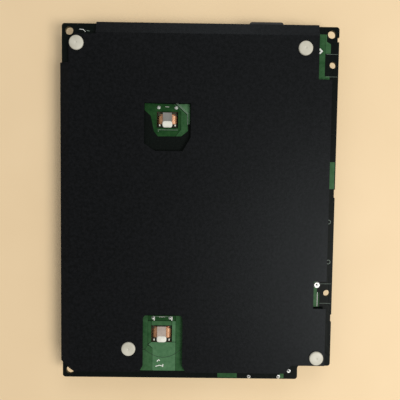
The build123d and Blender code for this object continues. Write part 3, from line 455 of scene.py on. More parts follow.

# Marks above: ink, width, and corners in millimetres from a core's middle or from a corner of the
# board. One is a bow: a parabola over a bow_reach to each side. Three white ones in the lower
# opening are painted highlights.
bow_reach = np.linspace(-1.0, 1.0, 17)
bow = np.column_stack([0.7 + 11.6 * bow_reach, -13.8 + 5.8 * bow_reach**2])
marks_above = [
    (worn_ink, 0.25, upper_core, [(4.9, 9.1), (11.3, 3.3), (11.3, -2.6)]),
    (worn_ink, 0.18, upper_core, [(5.5, 9.3), (11.9, 3.5)]),
    (print_ink_and_glints, 0.20, upper_core, [(-1.2, 7.2), (0.9, 7.1)]),
    (worn_ink, 0.22, upper_core, [(-5.4, -5.6), (5.9, -5.6)]),
    (worn_ink, 0.22, upper_core, [(-5.1, -5.75), (-5.0, -6.7)]),
    (worn_ink, 0.18, lower_core, [(-5.0, 10.0), (6.4, 10.0)]),
    # Painted highlights: a glint mid-line, then glints on the two solder joints and their leads.
    (print_ink_and_glints, 0.35, lower_core, [(-1.6, 9.9), (1.9, 9.9)]),
    (print_ink_and_glints, 0.55, lower_core, [(-4.2, 9.9), (-4.3, 7.7)]),
    (print_ink_and_glints, 0.55, lower_core, [(5.9, 9.9), (5.8, 7.7)]),
    (dark_ink, 0.24, lower_core, bow),
    (print_ink_and_glints, 0.5, lower_core, [(-2.6, -16.3), (-1.5, -15.2), (-0.9, -15.9)]),
    (print_ink_and_glints, 0.45, lower_core, [(-3.4, -19.2), (-1.0, -18.5), (0.5, -18.9)]),
    (print_ink_and_glints, 0.5, lower_core, [(0.95, -17.8), (0.75, -19.5)]),
    (print_ink_and_glints, 1.1, far_corner, [(-10.9, -12.1), (-9.4, -13.3), (-10.9, -14.5)]),
    (worn_ink, 0.15, far_corner, [(-6.9, -14.95), (-0.6, -14.95)]),
    (worn_ink, 0.15, far_corner, [(-6.9, -27.3), (-0.6, -27.3)]),
    (print_ink_and_glints, 0.24, near_corner, [(-8.35, 51.0), (-8.35, 42.8)]),
    (print_ink_and_glints, 0.30, far_corner, [(-144.2, -3.2), (-142.0, -3.4), (-140.9, -4.6)]),
    (worn_ink, 0.30, far_corner, [(-140.2, -3.9), (-138.6, -4.2)]),
    (worn_ink, 0.15, near_corner, [(-6.9, 55.9), (-0.6, 55.9)]),
    (worn_ink, 0.15, near_corner, [(-6.9, 44.6), (-0.6, 44.6)]),
]
marks = {worn_ink: [], print_ink_and_glints: [], dark_ink: []}
for shade, width, origin, corners in marks_above:
    line = printed_line(mm_from(origin, corners), width * MM, deck, ink_rise + copper_rise)
    marks[shade].append(line)
marker_radius = 1.1
for spot in ((-3.0, 91.4), (-2.6, 68.5)):
    ring = mm_from(near_corner, circle(spot, marker_radius))
    marks[worn_ink].append(printed_line(ring, line_width, deck, ink_rise))
marks[print_ink_and_glints] += lines_below
make_piece("printed_lines_and_glints", list(marks.items()))


# ==== Solder joints ====
# Wave-soldered joints: tinned copper pads with a bright cone of solder that draws up to the tip of
# each lead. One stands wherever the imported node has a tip.
def spun(profile, sides, unit):
    """A profile of radius and height at each of several angles about Z."""
    angle = np.linspace(0.0, 2 * np.pi, sides, endpoint=False)[:, None]
    radius, height = np.array(profile, float).T * unit
    return np.stack([radius * np.cos(angle), radius * np.sin(angle), height + 0 * angle], axis=-1)


def turned(profile, sides=32, unit=MM):
    """A surface of revolution about Z: ring i has the profile's radius and height i, and a flat
    face closes each end."""
    return ring_skin(spun(profile, sides, unit).swapaxes(0, 1))


def moved(part, offset, turn=0.0):
    """A part turned about Z and shifted."""
    points, faces = part
    c, s = math.cos(turn), math.sin(turn)
    spin = np.array([[c, s, 0.0], [-s, c, 0.0], [0.0, 0.0, 1.0]])
    return points @ spin + np.array(offset, float), faces


def tips_of(node_name):
    """Places of a node's highest points, one for each joint, as an array of x and y."""
    points = np.array([vertex.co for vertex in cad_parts[node_name].data.vertices])
    tips = points[points[:, 2] > points[:, 2].max() - 0.01 * MM]
    return np.unique(tips[:, :2].round(5), axis=0)


def metal(name, dark, light, rough, grain_mm, relief_mm, stretch=(1.0, 1.0, 1.0), metallic=1.0):
    """Bare or plated metal. A stretch draws its shades out along a direction."""
    return mottled(
        name, dark, light, (grain_mm, 3.0), rough, relief_mm=relief_mm, stretch=stretch,
        metallic=metallic,
    )


solder = metal(
    "bright_solder", (0.80, 0.82, 0.80), (0.96, 0.97, 0.95), (0.26, 0.50), 0.6, 0.04, metallic=0.65
)
joint_size = (1.05, 1.25)
cone = [
    (1.0, 0.0), (1.0, 0.04), (0.74, 0.16), (0.50, 0.42), (0.36, 0.72), (0.26, 0.93), (0.10, 1.0),
]
joint = turned(np.array(cone) * joint_size, 12)
joints = [moved(joint, (x, y, deck)) for x, y in tips_of("solder_joints")]
make_piece("solder_cones", [(solder, joints)], ["solder_joints"], crease=70.0)

# Tinned rings round the larger plated holes: place from the board's lower right corner in
# millimetres, and size.
ring_profile = [(0.8, 0.0), (0.85, 0.26), (1.1, 0.46), (1.45, 0.40), (1.75, 0.12), (1.85, 0.0)]
ring_places = [(-8.85, 55.2, 1.0), (-23.7, 4.7, 0.62), (-46.8, 1.2, 0.5), (-29.6, 1.5, 0.5)]
rings = []
for x, y, size in ring_places:
    ring = ring_skin(spun(ring_profile, 24, size * MM), closed=True)
    rings.append(moved(ring, (*mm_from(near_corner, (x, y)), deck)))
make_piece("tinned_rings", [(solder, rings)], crease=60.0)


# ==== Insulating sheet ====
# Black flame-proof film, die-cut and creased, with a fine matte grain. Two of its edges slope down
# past the board, and it carries a few faint scuffs from handling.
def film_finish():
    """Near-black film: fine grain, broad cloudy gloss, and sparse pale scuffs where a stretched
    noise is at its highest."""
    material, tree, shader = new_material("insulating_film", 0.14)
    spot = place_on(tree)
    grain = noise(tree, spot, 1.7, 5.0, 0.75)
    base = ramp(tree, grain, (0.0002, 0.0002, 0.0003), (0.0040, 0.0041, 0.0049), 0.38, 0.62)
    streaks = noise(tree, place_on(tree, (1.0, 0.16, 1.0)), 7.0, 6.0, 0.75)
    scuffs = level(tree, streaks, 0.0, 0.35, 0.70, 0.82)
    colour = blend_colours(tree, scuffs, base, (0.05, 0.05, 0.055, 1.0))
    gloss = level(tree, noise(tree, spot, 42.0), 0.42, 0.48, 0.3, 0.7)
    dress(tree, shader, colour, gloss, grain, 0.05)
    shader.inputs["Specular Tint"].default_value = (0.86, 0.95, 1.0, 1.0)
    return material


wear(film_finish(), "insulating_sheet")


# ==== Snap rivets ====
# Moulded nylon rivets that hold the sheet: a flat round head with a soft edge and a gate mark above
# the film, and a split barbed shank through the board. A six-sided ring on each spaces the sheet.
def moulded(name, dark, light, rough, grain_mm=1.2, relief_mm=0.01, glossy=0.4):
    """Moulded or fired: cloudy shades, and a fine relief that the gloss follows."""
    return mottled(
        name, dark, light, (grain_mm * 6, 3.0), (rough - 0.08, rough + 0.08), (grain_mm, 3.0),
        relief_mm, glossy, rough_follows="grain",
    )


def pointed(part, way):
    """A part made along +Z, pointed another way by swapping its axes."""
    order, signs = {
        "+x": ((2, 0, 1), (1, 1, 1)),
        "+y": ((1, 2, 0), (1, 1, 1)),
        "-y": ((0, 2, 1), (1, -1, 1)),
    }[way]
    points, faces = part
    return points[:, order] * np.array(signs, float), faces


nylon = moulded("rivet_nylon", (0.47, 0.455, 0.375), (0.60, 0.585, 0.50), 0.42, 1.1, 0.03)
wear(nylon, "rivet_spacers")
head_height = 1.2 * MM
head_profile = [
    (3.70, 0.0), (3.95, 0.10), (3.95, 0.50), (3.88, 0.78), (3.66, 0.98), (3.30, 1.08), (2.20, 1.16),
    (0.85, 1.19), (0.62, 1.17), (0.50, 1.02), (0.0, 1.0),
]
prong = [
    (0.4, 4.0), (0.4, -3.0), (0.75, -3.0), (1.75, -0.55), (1.75, -0.15), (1.2, -0.02), (1.2, 4.0),
]
prong_width = 2.4 * MM
rivets = []
for low, high in boxes_in("sheet_rivets"):
    x, y = (low + high)[:2] / 2
    rivets.append(moved(turned(head_profile, 48), (x, y, high[2] - head_height)))
    for side in (1, -1):
        outline = anticlockwise(np.array(prong) * (side * MM, MM))
        part = pointed(plate(outline, -prong_width / 2, prong_width), "-y")
        rivets.append(moved(part, (x, y, underside)))
make_piece("snap_rivets", [(nylon, rivets)], ["sheet_rivets"], crease=50.0)


# ==== Sunken chokes ====
# Two small pairs of E cores in slots of the board. Each has a copper winding on its centre leg and
# a bead of white cement over its end, and its bobbin hangs from two soldered pins. Two white posts
# by the lower end of each winding are painted highlights for the glints on its wire lead-outs.
def tube(path, around, radius, sides=8):
    """A round wire: a circle about each point of the path, which starts along the vector around."""
    angle = np.linspace(0.0, 2 * np.pi, sides, endpoint=False)
    return carried(path, around, radius * np.column_stack([np.cos(angle), np.sin(angle)]))


def wound(outline, start, end, turns, radius, sides=6, each=28):
    """A wire wound on a closed outline in X and Y while it climbs along Z: its place on the outline
    is the fraction of the turn, by arc length, and its height grows evenly from start to end."""
    outline = anticlockwise(outline)
    loop = np.vstack([outline, outline[:1]])
    steps = np.linalg.norm(np.diff(loop, axis=0), axis=1)
    loop = loop[np.append(True, steps > 1e-9)]
    reach = np.append(0.0, np.cumsum(steps[steps > 1e-9]))
    t = np.linspace(0.0, turns, int(turns * each) + 1)
    now, ahead, behind = (
        np.column_stack([np.interp((t + shift) % 1.0 * reach[-1], reach, side) for side in loop.T])
        for shift in (0.0, 0.25 / each, -0.25 / each)
    )
    dx, dy = (ahead - behind).T
    path = np.column_stack([now, start + (end - start) * t / turns])
    return tube(path, np.column_stack([dy, -dx, 0 * dx]), radius, sides)


def box_outline(low, high, corner, steps=5):
    """A rectangle with rounded corners."""
    (x0, y0), (x1, y1) = low, high
    return rounded_outline([(x0, y0), (x1, y0), (x1, y1), (x0, y1)], corner, steps)


def winding(low, high, corner, wire, pitch):
    """A layer of wire that fills a box round Y, over a solid core of packed wire. The pitch is the
    wire's widths for each turn."""
    turns = int((high - low)[1] / (wire * pitch)) - 0.5
    low, high = low[[2, 0, 1]], high[[2, 0, 1]]
    outer, inner = (
        anticlockwise(box_outline(low[:2] + inset, high[:2] - inset, corner - inset))
        for inset in (wire / 2, wire * 0.7)
    )
    layer = wound(outer, low[2] + wire / 2, high[2] - wire / 2, turns, wire / 2)
    return pointed(layer, "+y"), pointed(plate(inner, low[2], high[2] - low[2]), "+y")


def enamelled(name, dark, light, metallic=0.75):
    """Enamelled copper wire: warm metal whose shade drifts from turn to turn, under enamel."""
    return mottled(
        name, dark, light, (1.6, 3.0), (0.26, 0.42), relief_mm=0.02,
        metallic=metallic, coat_weight=0.3, coat_roughness=0.15,
    )


def soft_block(low, high, radius, steps=3):
    """A box with rounded edges and corners: a ball of the radius is cut into eight, and each eighth
    is moved out to its corner. Rings run from the lower pole to the upper one."""
    low, high = np.array(low, float), np.array(high, float)
    centre, half = (low + high) / 2, (high - low) / 2 - radius
    quarter = np.linspace(0.0, np.pi / 2, steps + 1)
    turn = (np.arange(4)[:, None] * np.pi / 2 + quarter).ravel()
    tilt = np.concatenate([quarter - np.pi / 2, quarter])[:, None]
    x_side = np.repeat([1.0, -1.0, -1.0, 1.0], steps + 1)
    y_side = np.repeat([1.0, 1.0, -1.0, -1.0], steps + 1)
    z_side = np.repeat([-1.0, 1.0], steps + 1)[:, None]
    x = radius * np.cos(tilt) * np.cos(turn) + half[0] * x_side
    y = radius * np.cos(tilt) * np.sin(turn) + half[1] * y_side
    z = (radius * np.sin(tilt) + half[2] * z_side) * np.ones_like(turn)
    return ring_skin(np.stack([x, y, z], axis=-1) + centre)


def cushion(low, high, radius, crown):
    """A pad with a rounded outline: rings of the outline climb the side, then draw in by the crown
    times 1 - cos and rise by the crown times sin of an angle from 0 to 75 degrees."""
    angle = np.concatenate([[0.0], np.radians([0.0, 20.0, 40.0, 58.0, 75.0])])
    inset = crown * (1 - np.cos(angle))
    height = high[2] - crown + crown * np.sin(angle)
    height[0] = low[2]
    rings = [
        at_height(box_outline(low[:2] + shrink, high[:2] - shrink, radius - shrink / 2, 8), z)
        for shrink, z in zip(inset, height)
    ]
    return ring_skin(np.array(rings))


sunken_wire = enamelled("fine_copper_wire", (0.50, 0.240, 0.110), (0.72, 0.40, 0.215), 0.30)
# The packed core is a darker copy of the copper that shows only between turns: painted shade.
packed_wire_shaded = enamelled("packed_copper_painted_shade", (0.16, 0.042, 0.018), (0.27, 0.078, 0.033))
# Both cores are one ferrite: the upper copy darker and cooler as painted shade, the lower copy
# lighter and warmer as painted light, for the brighter light on the lower opening.
ferrite_lit_and_shaded = {
    "upper": moulded(
        "ferrite_painted_shade", (0.15, 0.15, 0.14), (0.21, 0.21, 0.195), 0.50, 0.5, 0.03, 0.3
    ),
    "lower": moulded(
        "ferrite_painted_light", (0.32, 0.27, 0.235), (0.43, 0.36, 0.31), 0.50, 0.5, 0.03, 0.3
    ),
}
white_cement_and_glints = moulded(
    "white_cement_and_glints", (0.60, 0.60, 0.53), (0.78, 0.78, 0.71), 0.55, 0.8, 0.06, 0.3
)
bobbin_olive = moulded(
    "bobbin_olive", (0.030, 0.038, 0.022), (0.055, 0.062, 0.038), 0.5, 0.7, 0.02, 0.3
)
bobbin_black = moulded(
    "bobbin_black", (0.012, 0.012, 0.013), (0.024, 0.023, 0.024), 0.5, 0.7, 0.02, 0.3
)
sunken_wire_width = 0.42 * MM
sunken_coil_corner = 2.6 * MM
coil_swell = 0.12 * MM
flange_cover = 0.9 * MM
cement_length = 3.2 * MM
cement_overlap = np.array([0.30, 0.45]) * MM
cement_skirt = 0.72 * MM
cement_crown = 0.35 * MM
cement_corner = 1.5 * MM
cement_ease = 0.6 * MM
# Posts: two white blocks by each winding's lower end, painted highlights for glinting lead-outs.
glint_post_width = 0.35 * MM
glint_post_inset = 1.2 * MM
glint_post_low_gap, glint_post_high_gap = 1.2 * MM, 0.15 * MM
glint_post_depth, glint_post_rise = 1.0 * MM, 0.35 * MM
glint_post_ease = 0.25 * MM
for name in ("upper", "lower"):
    wear(ferrite_lit_and_shaded[name], f"{name}_choke_core")
    wear(bobbin_olive, f"{name}_choke_bobbin")
    low, high = corners_of(f"{name}_choke_winding")
    low = low - (coil_swell, 0.0, 0.0)
    high = high + (coil_swell, flange_cover, coil_swell)
    layer, packed = winding(low, high, sunken_coil_corner, sunken_wire_width, 1.04)
    coil = [(sunken_wire, [layer]), (packed_wire_shaded, [packed])]
    replaced = [f"{name}_choke_winding"]
    make_piece(f"{name}_choke_wire", coil, replaced, crease=60.0)
    core_low, core_high = corners_of(f"{name}_choke_core")
    pad_low = (*(core_low[:2] - cement_overlap), core_high[2] - cement_skirt)
    pad_high = (
        core_high[0] + cement_overlap[0], core_low[1] + cement_length, core_high[2] + cement_crown
    )
    white = [cushion(np.array(pad_low), np.array(pad_high), cement_corner, cement_ease)]
    # The painted highlights: a white post at each side, where the wire lead-outs glint.
    for side in (-1, 1):
        x = (low[0] + high[0]) / 2 + side * ((high[0] - low[0]) / 2 - glint_post_inset)
        glint_post_low = (x - glint_post_width, low[1] - glint_post_low_gap, deck - glint_post_depth)
        glint_post_high = (x + glint_post_width, low[1] - glint_post_high_gap, deck + glint_post_rise)
        white.append(soft_block(glint_post_low, glint_post_high, glint_post_ease))
    make_piece(f"{name}_choke_cement_and_glints", [(white_cement_and_glints, white)], crease=60.0)


# ==== Line filter chokes ====
# Closed ferrite frames on moulded bases. Each long leg carries a tube with one layer of thick
# enamelled wire, whose ends turn up to the board.
def route(corners, radius, steps=4):
    """An open line whose inner corners are eased."""
    corners = np.array(corners, float)
    inner = eased(corners[1:-1], corners[:-2], corners[2:], radius, steps)
    return np.vstack([corners[:1], inner, corners[-1:]])


def up_to_board(*spots):
    """The spots, and one more at the board's underside, straight above the last."""
    return [*spots, (spots[-1][0], spots[-1][1], underside)]


dark_ferrite = moulded(
    "dark_ferrite", (0.020, 0.020, 0.022), (0.042, 0.042, 0.045), 0.46, 0.5, 0.03, 0.35
)
thick_wire = enamelled("thick_copper_wire", (0.42, 0.115, 0.035), (0.66, 0.225, 0.080))
filter_wire = 0.8 * MM
filter_coil_corner = 2.2 * MM
filter_end_reach = 2.4 * MM
filter_end_start = 7.0 * MM
filter_end_lift = 0.4 * MM
filter_end_bend = 0.6 * MM
for number in (1, 2):
    wear(dark_ferrite, f"line_filter_core_{number}")
    wear(bobbin_black, f"line_filter_bobbin_{number}")
    layers, cores = [], []
    for low, high in boxes_in(f"line_filter_windings_{number}"):
        layer, packed = winding(low, high, filter_coil_corner, filter_wire, 1.03)
        layers.append(layer)
        cores.append(packed)
        end_x = (low[0] + high[0]) / 2 + filter_end_reach
        for y in (low[1] + filter_wire / 2, high[1] - filter_wire / 2):
            inside = (high[0] - filter_wire, y, filter_end_start)
            spots = up_to_board(inside, (end_x, y, high[2] + filter_end_lift))
            layers.append(tube(route(spots, filter_end_bend), (0.0, 1.0, 0.0), filter_wire / 2))
    coils = [(thick_wire, layers), (packed_wire_shaded, cores)]
    replaced = [f"line_filter_windings_{number}"]
    make_piece(f"line_filter_wire_{number}", coils, replaced, crease=60.0)


# ==== Flat transformers and the boost choke ====
# Flat ferrite E halves round a taped winding on a black bobbin. Amber tape holds the halves, and
# the copper ends are wrapped and soldered on pins in the two rails that stand on the board.
def tape_finish():
    """Amber polyester tape: glossy, with the layers' edges as fine lines along the height and a
    slightly wavy skin."""
    material, tree, shader = new_material("amber_tape")
    cloud = noise(tree, place_on(tree), 4.0, 4.0)
    layers = noise(tree, place_on(tree, (0.02, 0.02, 1.0)), 0.35, 2.0)
    amber = ramp(tree, cloud, (0.46, 0.23, 0.020), (0.66, 0.37, 0.045))
    lines = level(tree, layers, 0.0, 0.5, 0.45, 0.6)
    colour = blend_colours(tree, lines, amber, (0.30, 0.14, 0.015, 1.0))
    dress(tree, shader, colour, level(tree, cloud, 0.16, 0.30), cloud, 0.10)
    return material


def band(low, high, width, rise, corner):
    """A loop of tape of the width round a box, in the planes square to Y: an outer and an inner
    rounded rectangle, joined at both edges."""
    outer = box_outline(low[[0, 2]] - rise, high[[0, 2]] + rise, corner)
    inner = box_outline(low[[0, 2]], high[[0, 2]], corner)
    centre = (low[1] + high[1]) / 2
    edges = ((outer, 1), (outer, -1), (inner, -1), (inner, 1))
    rings = [at_height(outline, centre + side * width / 2) for outline, side in edges]
    return ring_skin(np.array(rings)[:, :, [0, 2, 1]], closed=True)


def bulging(low, high, corner, bulge, rows=9):
    """A taped winding: rounded rectangles up the height, each grown by the bulge times a power of
    a half sine of its height."""
    rings = []
    for height in np.linspace(0.0, 1.0, rows):
        grown = bulge * math.sin(math.pi * height) ** 0.6
        outline = box_outline(low[:2] - grown, high[:2] + grown, corner)
        rings.append(at_height(outline, low[2] + height * (high[2] - low[2])))
    return ring_skin(np.array(rings))


tape = tape_finish()
tin = metal("tinned_wire", (0.55, 0.55, 0.54), (0.78, 0.77, 0.75), (0.22, 0.40), 0.7, 0.02)
# Pins on each rail, and the width of the tape in millimetres.
flat_parts = {
    "main_transformer_1": (5, 11.0),
    "main_transformer_2": (5, 11.0),
    "boost_choke": (3, 9.0),
    "standby_transformer": (3, 6.0),
}
coil_corner = 3.0 * MM
coil_bulge = 0.12 * MM
tape_rise = 0.05 * MM
tape_corner = 0.35 * MM
rail_depth = 4.5 * MM
rail_face = 7.2 * MM
lead_radius = 0.22 * MM
lead_bend = 0.3 * MM
lead_spread = 0.82
stub = turned([(0.0, -1.3), (0.28, -1.25), (0.4, -1.0), (0.4, 0.0)], 10)
wrap = turned([(0.4, -0.95), (0.66, -0.75), (0.85, -0.35), (0.92, 0.0)], 14)
for name, (pin_count, tape_width) in flat_parts.items():
    wear(dark_ferrite, f"{name}_core")
    wear(bobbin_black, f"{name}_bobbin")
    coil_low, coil_high = corners_of(f"{name}_winding")
    bobbin_low, bobbin_high = corners_of(f"{name}_bobbin")
    coil = bulging(coil_low, coil_high, coil_corner, coil_bulge)
    loop = band(*corners_of(f"{name}_core"), tape_width * MM, tape_rise, tape_corner)
    taped = [(tape, [coil, loop])]
    make_piece(f"{name}_tape", taped, [f"{name}_winding"], crease=50.0)
    span, depth, _ = bobbin_high - bobbin_low - rail_depth
    middle_x, middle_y, _ = (bobbin_low + bobbin_high) / 2
    stubs, wraps, leads = [], [], []
    for side, coil_y in ((-1, coil_low[1]), (1, coil_high[1])):
        rail_y = middle_y + side * depth / 2
        for place in np.linspace(-0.5, 0.5, pin_count):
            x = middle_x + place * span
            stubs.append(moved(stub, (x, rail_y, rail_face)))
            wraps.append(moved(wrap, (x, rail_y, rail_face)))
            start_x = middle_x + place * span * lead_spread
            spots = [
                (start_x, coil_y - side * 0.5 * MM, rail_face - 1.2 * MM),
                (start_x, coil_y + side * 0.35 * MM, rail_face - 0.8 * MM),
                (x, rail_y - side * 0.9 * MM, rail_face - 0.25 * MM),
                (x, rail_y, rail_face - 0.45 * MM),
            ]
            leads.append(tube(route(spots, lead_bend), (1.0, 0.0, 0.0), lead_radius, 6))
    wired = [(tin, stubs), (solder, wraps), (thick_wire, leads)]
    make_piece(f"{name}_leads", wired, crease=60.0)


# ==== Bulk and output capacitors ====
# Drawn aluminium cans lying along the board in dark shrink sleeves, each with a pale stripe over
# its negative lead, a scored vent on its closed end and a rubber bung crimped in at the other.
def sleeve_finish(name, dark, light):
    """Glossy shrink sleeve, drawn thin over the can: close shades and a slightly wavy skin."""
    return mottled(name, dark, light, (6.0, 4.0), (0.20, 0.34), (2.5, 2.0), 0.05)


def stripe_on(radius, start, end, angle_from, angle_to, rise):
    """A curved strip on a can along Z: an outer arc between two angles and an inner one, at both
    ends of the strip."""
    angle = np.linspace(angle_from, angle_to, 9)
    outer = (radius + rise) * np.column_stack([np.cos(angle), np.sin(angle)])
    inner = (radius - rise) * np.column_stack([np.cos(angle), np.sin(angle)])[::-1]
    return plate(np.vstack([outer, inner]), start, end - start)


def can_parts(r, l, bung):
    """A can along Z with its sealed end at 0, its radius, length and bung in millimetres: sleeve,
    stripe, bare aluminium and rubber, each a list of parts. The sleeve dips over the crimp and
    turns in over both rims."""
    sleeve = [
        (r - 0.75, 0.05), (r - 0.35, 0.0), (r - 0.08, 0.18), (r, 0.5), (r, 1.7), (r - 0.12, 2.1),
        (r - 0.42, 2.5), (r - 0.5, 2.85), (r - 0.42, 3.2), (r - 0.12, 3.6), (r, 4.0), (r, l - 0.9),
        (r - 0.08, l - 0.4), (r - 0.35, l - 0.08), (r - 0.8, l), (r - 0.95, l - 0.12),
    ]
    stripe = stripe_on(r * MM, 4.3 * MM, (l - 1.0) * MM, -2.05, -1.45, 0.02 * MM)
    rim = [(r - 0.8, -0.05), (r - 1.15, -0.12), (r - 1.35, -0.05), (r - 1.4, 0.1)]
    back = [(r - 0.9, l - 0.6), (r - 0.9, l - 0.22), (0.0, l - 0.20)]
    seal = [(0.0, -bung), (r - 1.15, -bung), (r - 0.9, -bung * 0.6), (r - 0.9, 0.3)]
    low, high = np.array([(0.2, -0.14, l - 0.26), (r - 1.6, 0.14, l - 0.16)]) * MM
    groove = soft_block(low, high, 0.04 * MM, 1)
    scores = [moved(groove, (0.0, 0.0, 0.0), turn) for turn in (0.0, 2.1, 4.2)]
    bare = [turned(rim, 40), turned(back, 40), *scores]
    return [turned(sleeve, 40)], [stripe], bare, [turned(seal)]


def bent_leads(start, pitch, across, along):
    """Two wires that leave a sealed end, run along and bend up to the board."""
    wires = []
    for side in (-1, 1):
        origin = np.array(start) + np.array(across) * side * pitch / 2
        spots = up_to_board(origin, origin + np.array(along) * lead_run)
        wires.append(tube(route(spots, can_lead_bend), across, wire_radius))
    return wires


can_materials = (
    sleeve_finish("can_sleeve", (0.010, 0.011, 0.020), (0.017, 0.019, 0.032)),
    sleeve_finish("sleeve_stripe", (0.34, 0.35, 0.36), (0.46, 0.47, 0.48)),
    metal("can_aluminium", (0.56, 0.57, 0.58), (0.78, 0.79, 0.80), (0.24, 0.40), 1.4, 0.02),
    moulded("bung_rubber", (0.012, 0.012, 0.012), (0.022, 0.021, 0.020), 0.7, 0.9, 0.03, 0.25),
)
# Lengths of the cans and of the bulk capacitors' bungs in millimetres.
bulk_length = 42.0
bulk_bung = 0.8
output_length = 18.0
lead_run = 1.3 * MM
can_lead_bend = 0.55 * MM
wire_radius = 0.3 * MM
for number in (1, 2, 3, 4):
    low, high = corners_of(f"bulk_capacitor_{number}")
    radius = (high - low)[1] / 2 / MM
    centre = np.array([high[0] - bulk_length * MM, (low + high)[1] / 2, low[2] + radius * MM])
    groups = []
    for material, parts in zip(can_materials, can_parts(radius, bulk_length, bulk_bung)):
        groups.append((material, [moved(pointed(part, "+x"), centre) for part in parts]))
    start = centre - (bulk_bung * MM, 0.0, 0.0)
    groups.append((tin, bent_leads(start, radius * MM, (0, 1, 0), (-1, 0, 0))))
    make_piece(f"bulk_can_{number}", groups, [f"bulk_capacitor_{number}"], crease=40.0)

groups = {material: [] for material in (*can_materials, tin)}
for low, high in boxes_in("output_capacitors"):
    radius = (high - low)[0] / 2 / MM
    centre = np.array([(low + high)[0] / 2, low[1] + output_length * MM, low[2] + radius * MM])
    for material, parts in zip(can_materials, can_parts(radius, output_length, 0.0)):
        groups[material] += [moved(pointed(part, "-y"), centre) for part in parts]
    groups[tin] += bent_leads(centre, radius * MM, (1, 0, 0), (0, 1, 0))
make_piece("output_cans", list(groups.items()), ["output_capacitors"], crease=40.0)


# ==== Dipped discs ====
# A varistor, an inrush thermistor and two safety capacitors: fired discs dipped in coloured epoxy,
# lying flat, with the coating drawn out along both leads.
def dipped_disc(centre, radius, thickness, along, across, pitch, reach):
    """Body and leads of a disc. The body is turned: a rim that is half an ellipse and faces that
    crown by about a tenth of the thickness. A cone of coating tapers along each lead."""
    t = np.linspace(-np.pi / 2, np.pi / 2, 13)
    rim = thickness * 0.42
    crown = thickness * 0.08
    edge_line = np.column_stack([radius - rim + rim * np.cos(t), rim * np.sin(t)])
    face = np.array([(0.0, rim + crown), (radius * 0.45, rim + crown * 0.8)])
    body = [moved(turned(np.vstack([face * (1, -1), edge_line, face[::-1]]), 40, 1.0), centre)]
    leads = []
    way = {(1, 0): "+x", (0, 1): "+y"}[along]
    along = np.array([*along, 0.0])
    across = np.array([*across, 0.0])
    edge = math.sqrt(radius**2 - (pitch / 2) ** 2)
    cone = turned([(0.9, -1.6), (0.85, -0.5), (0.55, 0.25), (0.36, 0.7), (0.3, 0.75)], 14)
    taper = pointed(cone, way)
    for side in (-1, 1):
        origin = centre + across * side * pitch / 2
        body.append(moved(taper, origin + along * edge))
        spots = up_to_board(origin + along * (edge - 1.0 * MM), origin + along * reach)
        leads.append(tube(route(spots, lead_wire_bend), across, wire_radius))
    return body, leads


def epoxy_finish(name, dark, light):
    """Dipped epoxy: glossy, with slow waves and a few pinholes."""
    return mottled(name, dark, light, (3.0, 3.0), (0.22, 0.38), (1.2, 4.0), 0.12)


blue_epoxy = epoxy_finish("blue_epoxy", (0.018, 0.085, 0.26), (0.030, 0.125, 0.36))
dark_epoxy = epoxy_finish("green_epoxy", (0.020, 0.055, 0.030), (0.034, 0.085, 0.048))
sky_epoxy = epoxy_finish("sky_epoxy", (0.045, 0.20, 0.42), (0.070, 0.28, 0.52))
lead_wire_bend = 0.5 * MM
disc_clearance = 0.3 * MM
# Coat, diameter and thickness in millimetres, the way the leads run, and the slot.
disc_nodes = {
    "varistor": (blue_epoxy, 11.0, 4.4, (1, 0), "blue_epoxy"),
    "inrush_thermistor": (dark_epoxy, 9.5, 4.0, (1, 0), "green_epoxy"),
    "y_capacitors": (sky_epoxy, 7.0, 3.0, (0, 1), "blue_epoxy"),
}
for node_name, (coat, diameter, thickness, along, slot) in disc_nodes.items():
    bodies, wires = [], []
    radius, thick = diameter * MM / 2, thickness * MM
    for low, _ in boxes_in(node_name):
        centre = low + (radius, radius, thick / 2)
        reach = radius + disc_clearance
        body, leads = dipped_disc(centre, radius, thick, along, along[::-1], radius, reach)
        bodies += body
        wires += leads
    make_piece(f"dipped_{node_name}", [(coat, bodies), (tin, wires)], [node_name], crease=50.0)


# ==== Mains fuse ====
# A white ceramic tube between two pressed nickel caps, each with a wire welded to its middle and
# bent up to the board.
ceramic = mottled(
    "glazed_ceramic", (0.60, 0.59, 0.55), (0.74, 0.73, 0.69), (2.5, 3.0), (0.15, 0.28),
    relief_mm=0.02,
)
nickel = metal("nickel_plate", (0.50, 0.49, 0.46), (0.70, 0.68, 0.64), (0.16, 0.32), 1.0, 0.015)
tube_low, tube_high = corners_of("fuse_tube")
fuse_centre = (tube_low + tube_high) / 2
fuse_radius, half = (tube_high - fuse_centre)[:2]
fuse_line = np.array([(0.9, -1.0), (1.0, -0.98), (1.0, 0.98), (0.9, 1.0)]) * (fuse_radius, half)
body = moved(pointed(turned(fuse_line, 40, 1.0), "+y"), fuse_centre)
make_piece("fuse_body", [(ceramic, [body])], ["fuse_tube"])
cap = [
    (2.42, 0.0), (2.66, 0.06), (2.66, 0.7), (2.58, 0.8), (2.66, 0.92), (2.66, 4.5), (2.52, 4.85),
    (2.2, 5.0), (0.9, 5.0), (0.7, 4.9), (0.45, 4.9), (0.3, 5.2), (0.0, 5.25),
]
cap_length = 5.0 * MM
caps = []
wires = []
for side, way in ((-1, "-y"), (1, "+y")):
    base = fuse_centre + (0.0, side * half, 0.0)
    caps.append(moved(pointed(turned(cap, 40), way), base))
    start = base + (0.0, side * cap_length, 0.0)
    spots = up_to_board(start, start + (0.0, side * lead_run, 0.0))
    wires.append(tube(route(spots, lead_wire_bend), (1.0, 0.0, 0.0), wire_radius))
make_piece("fuse_ends", [(nickel, caps), (tin, wires)], ["fuse_caps"], crease=40.0)


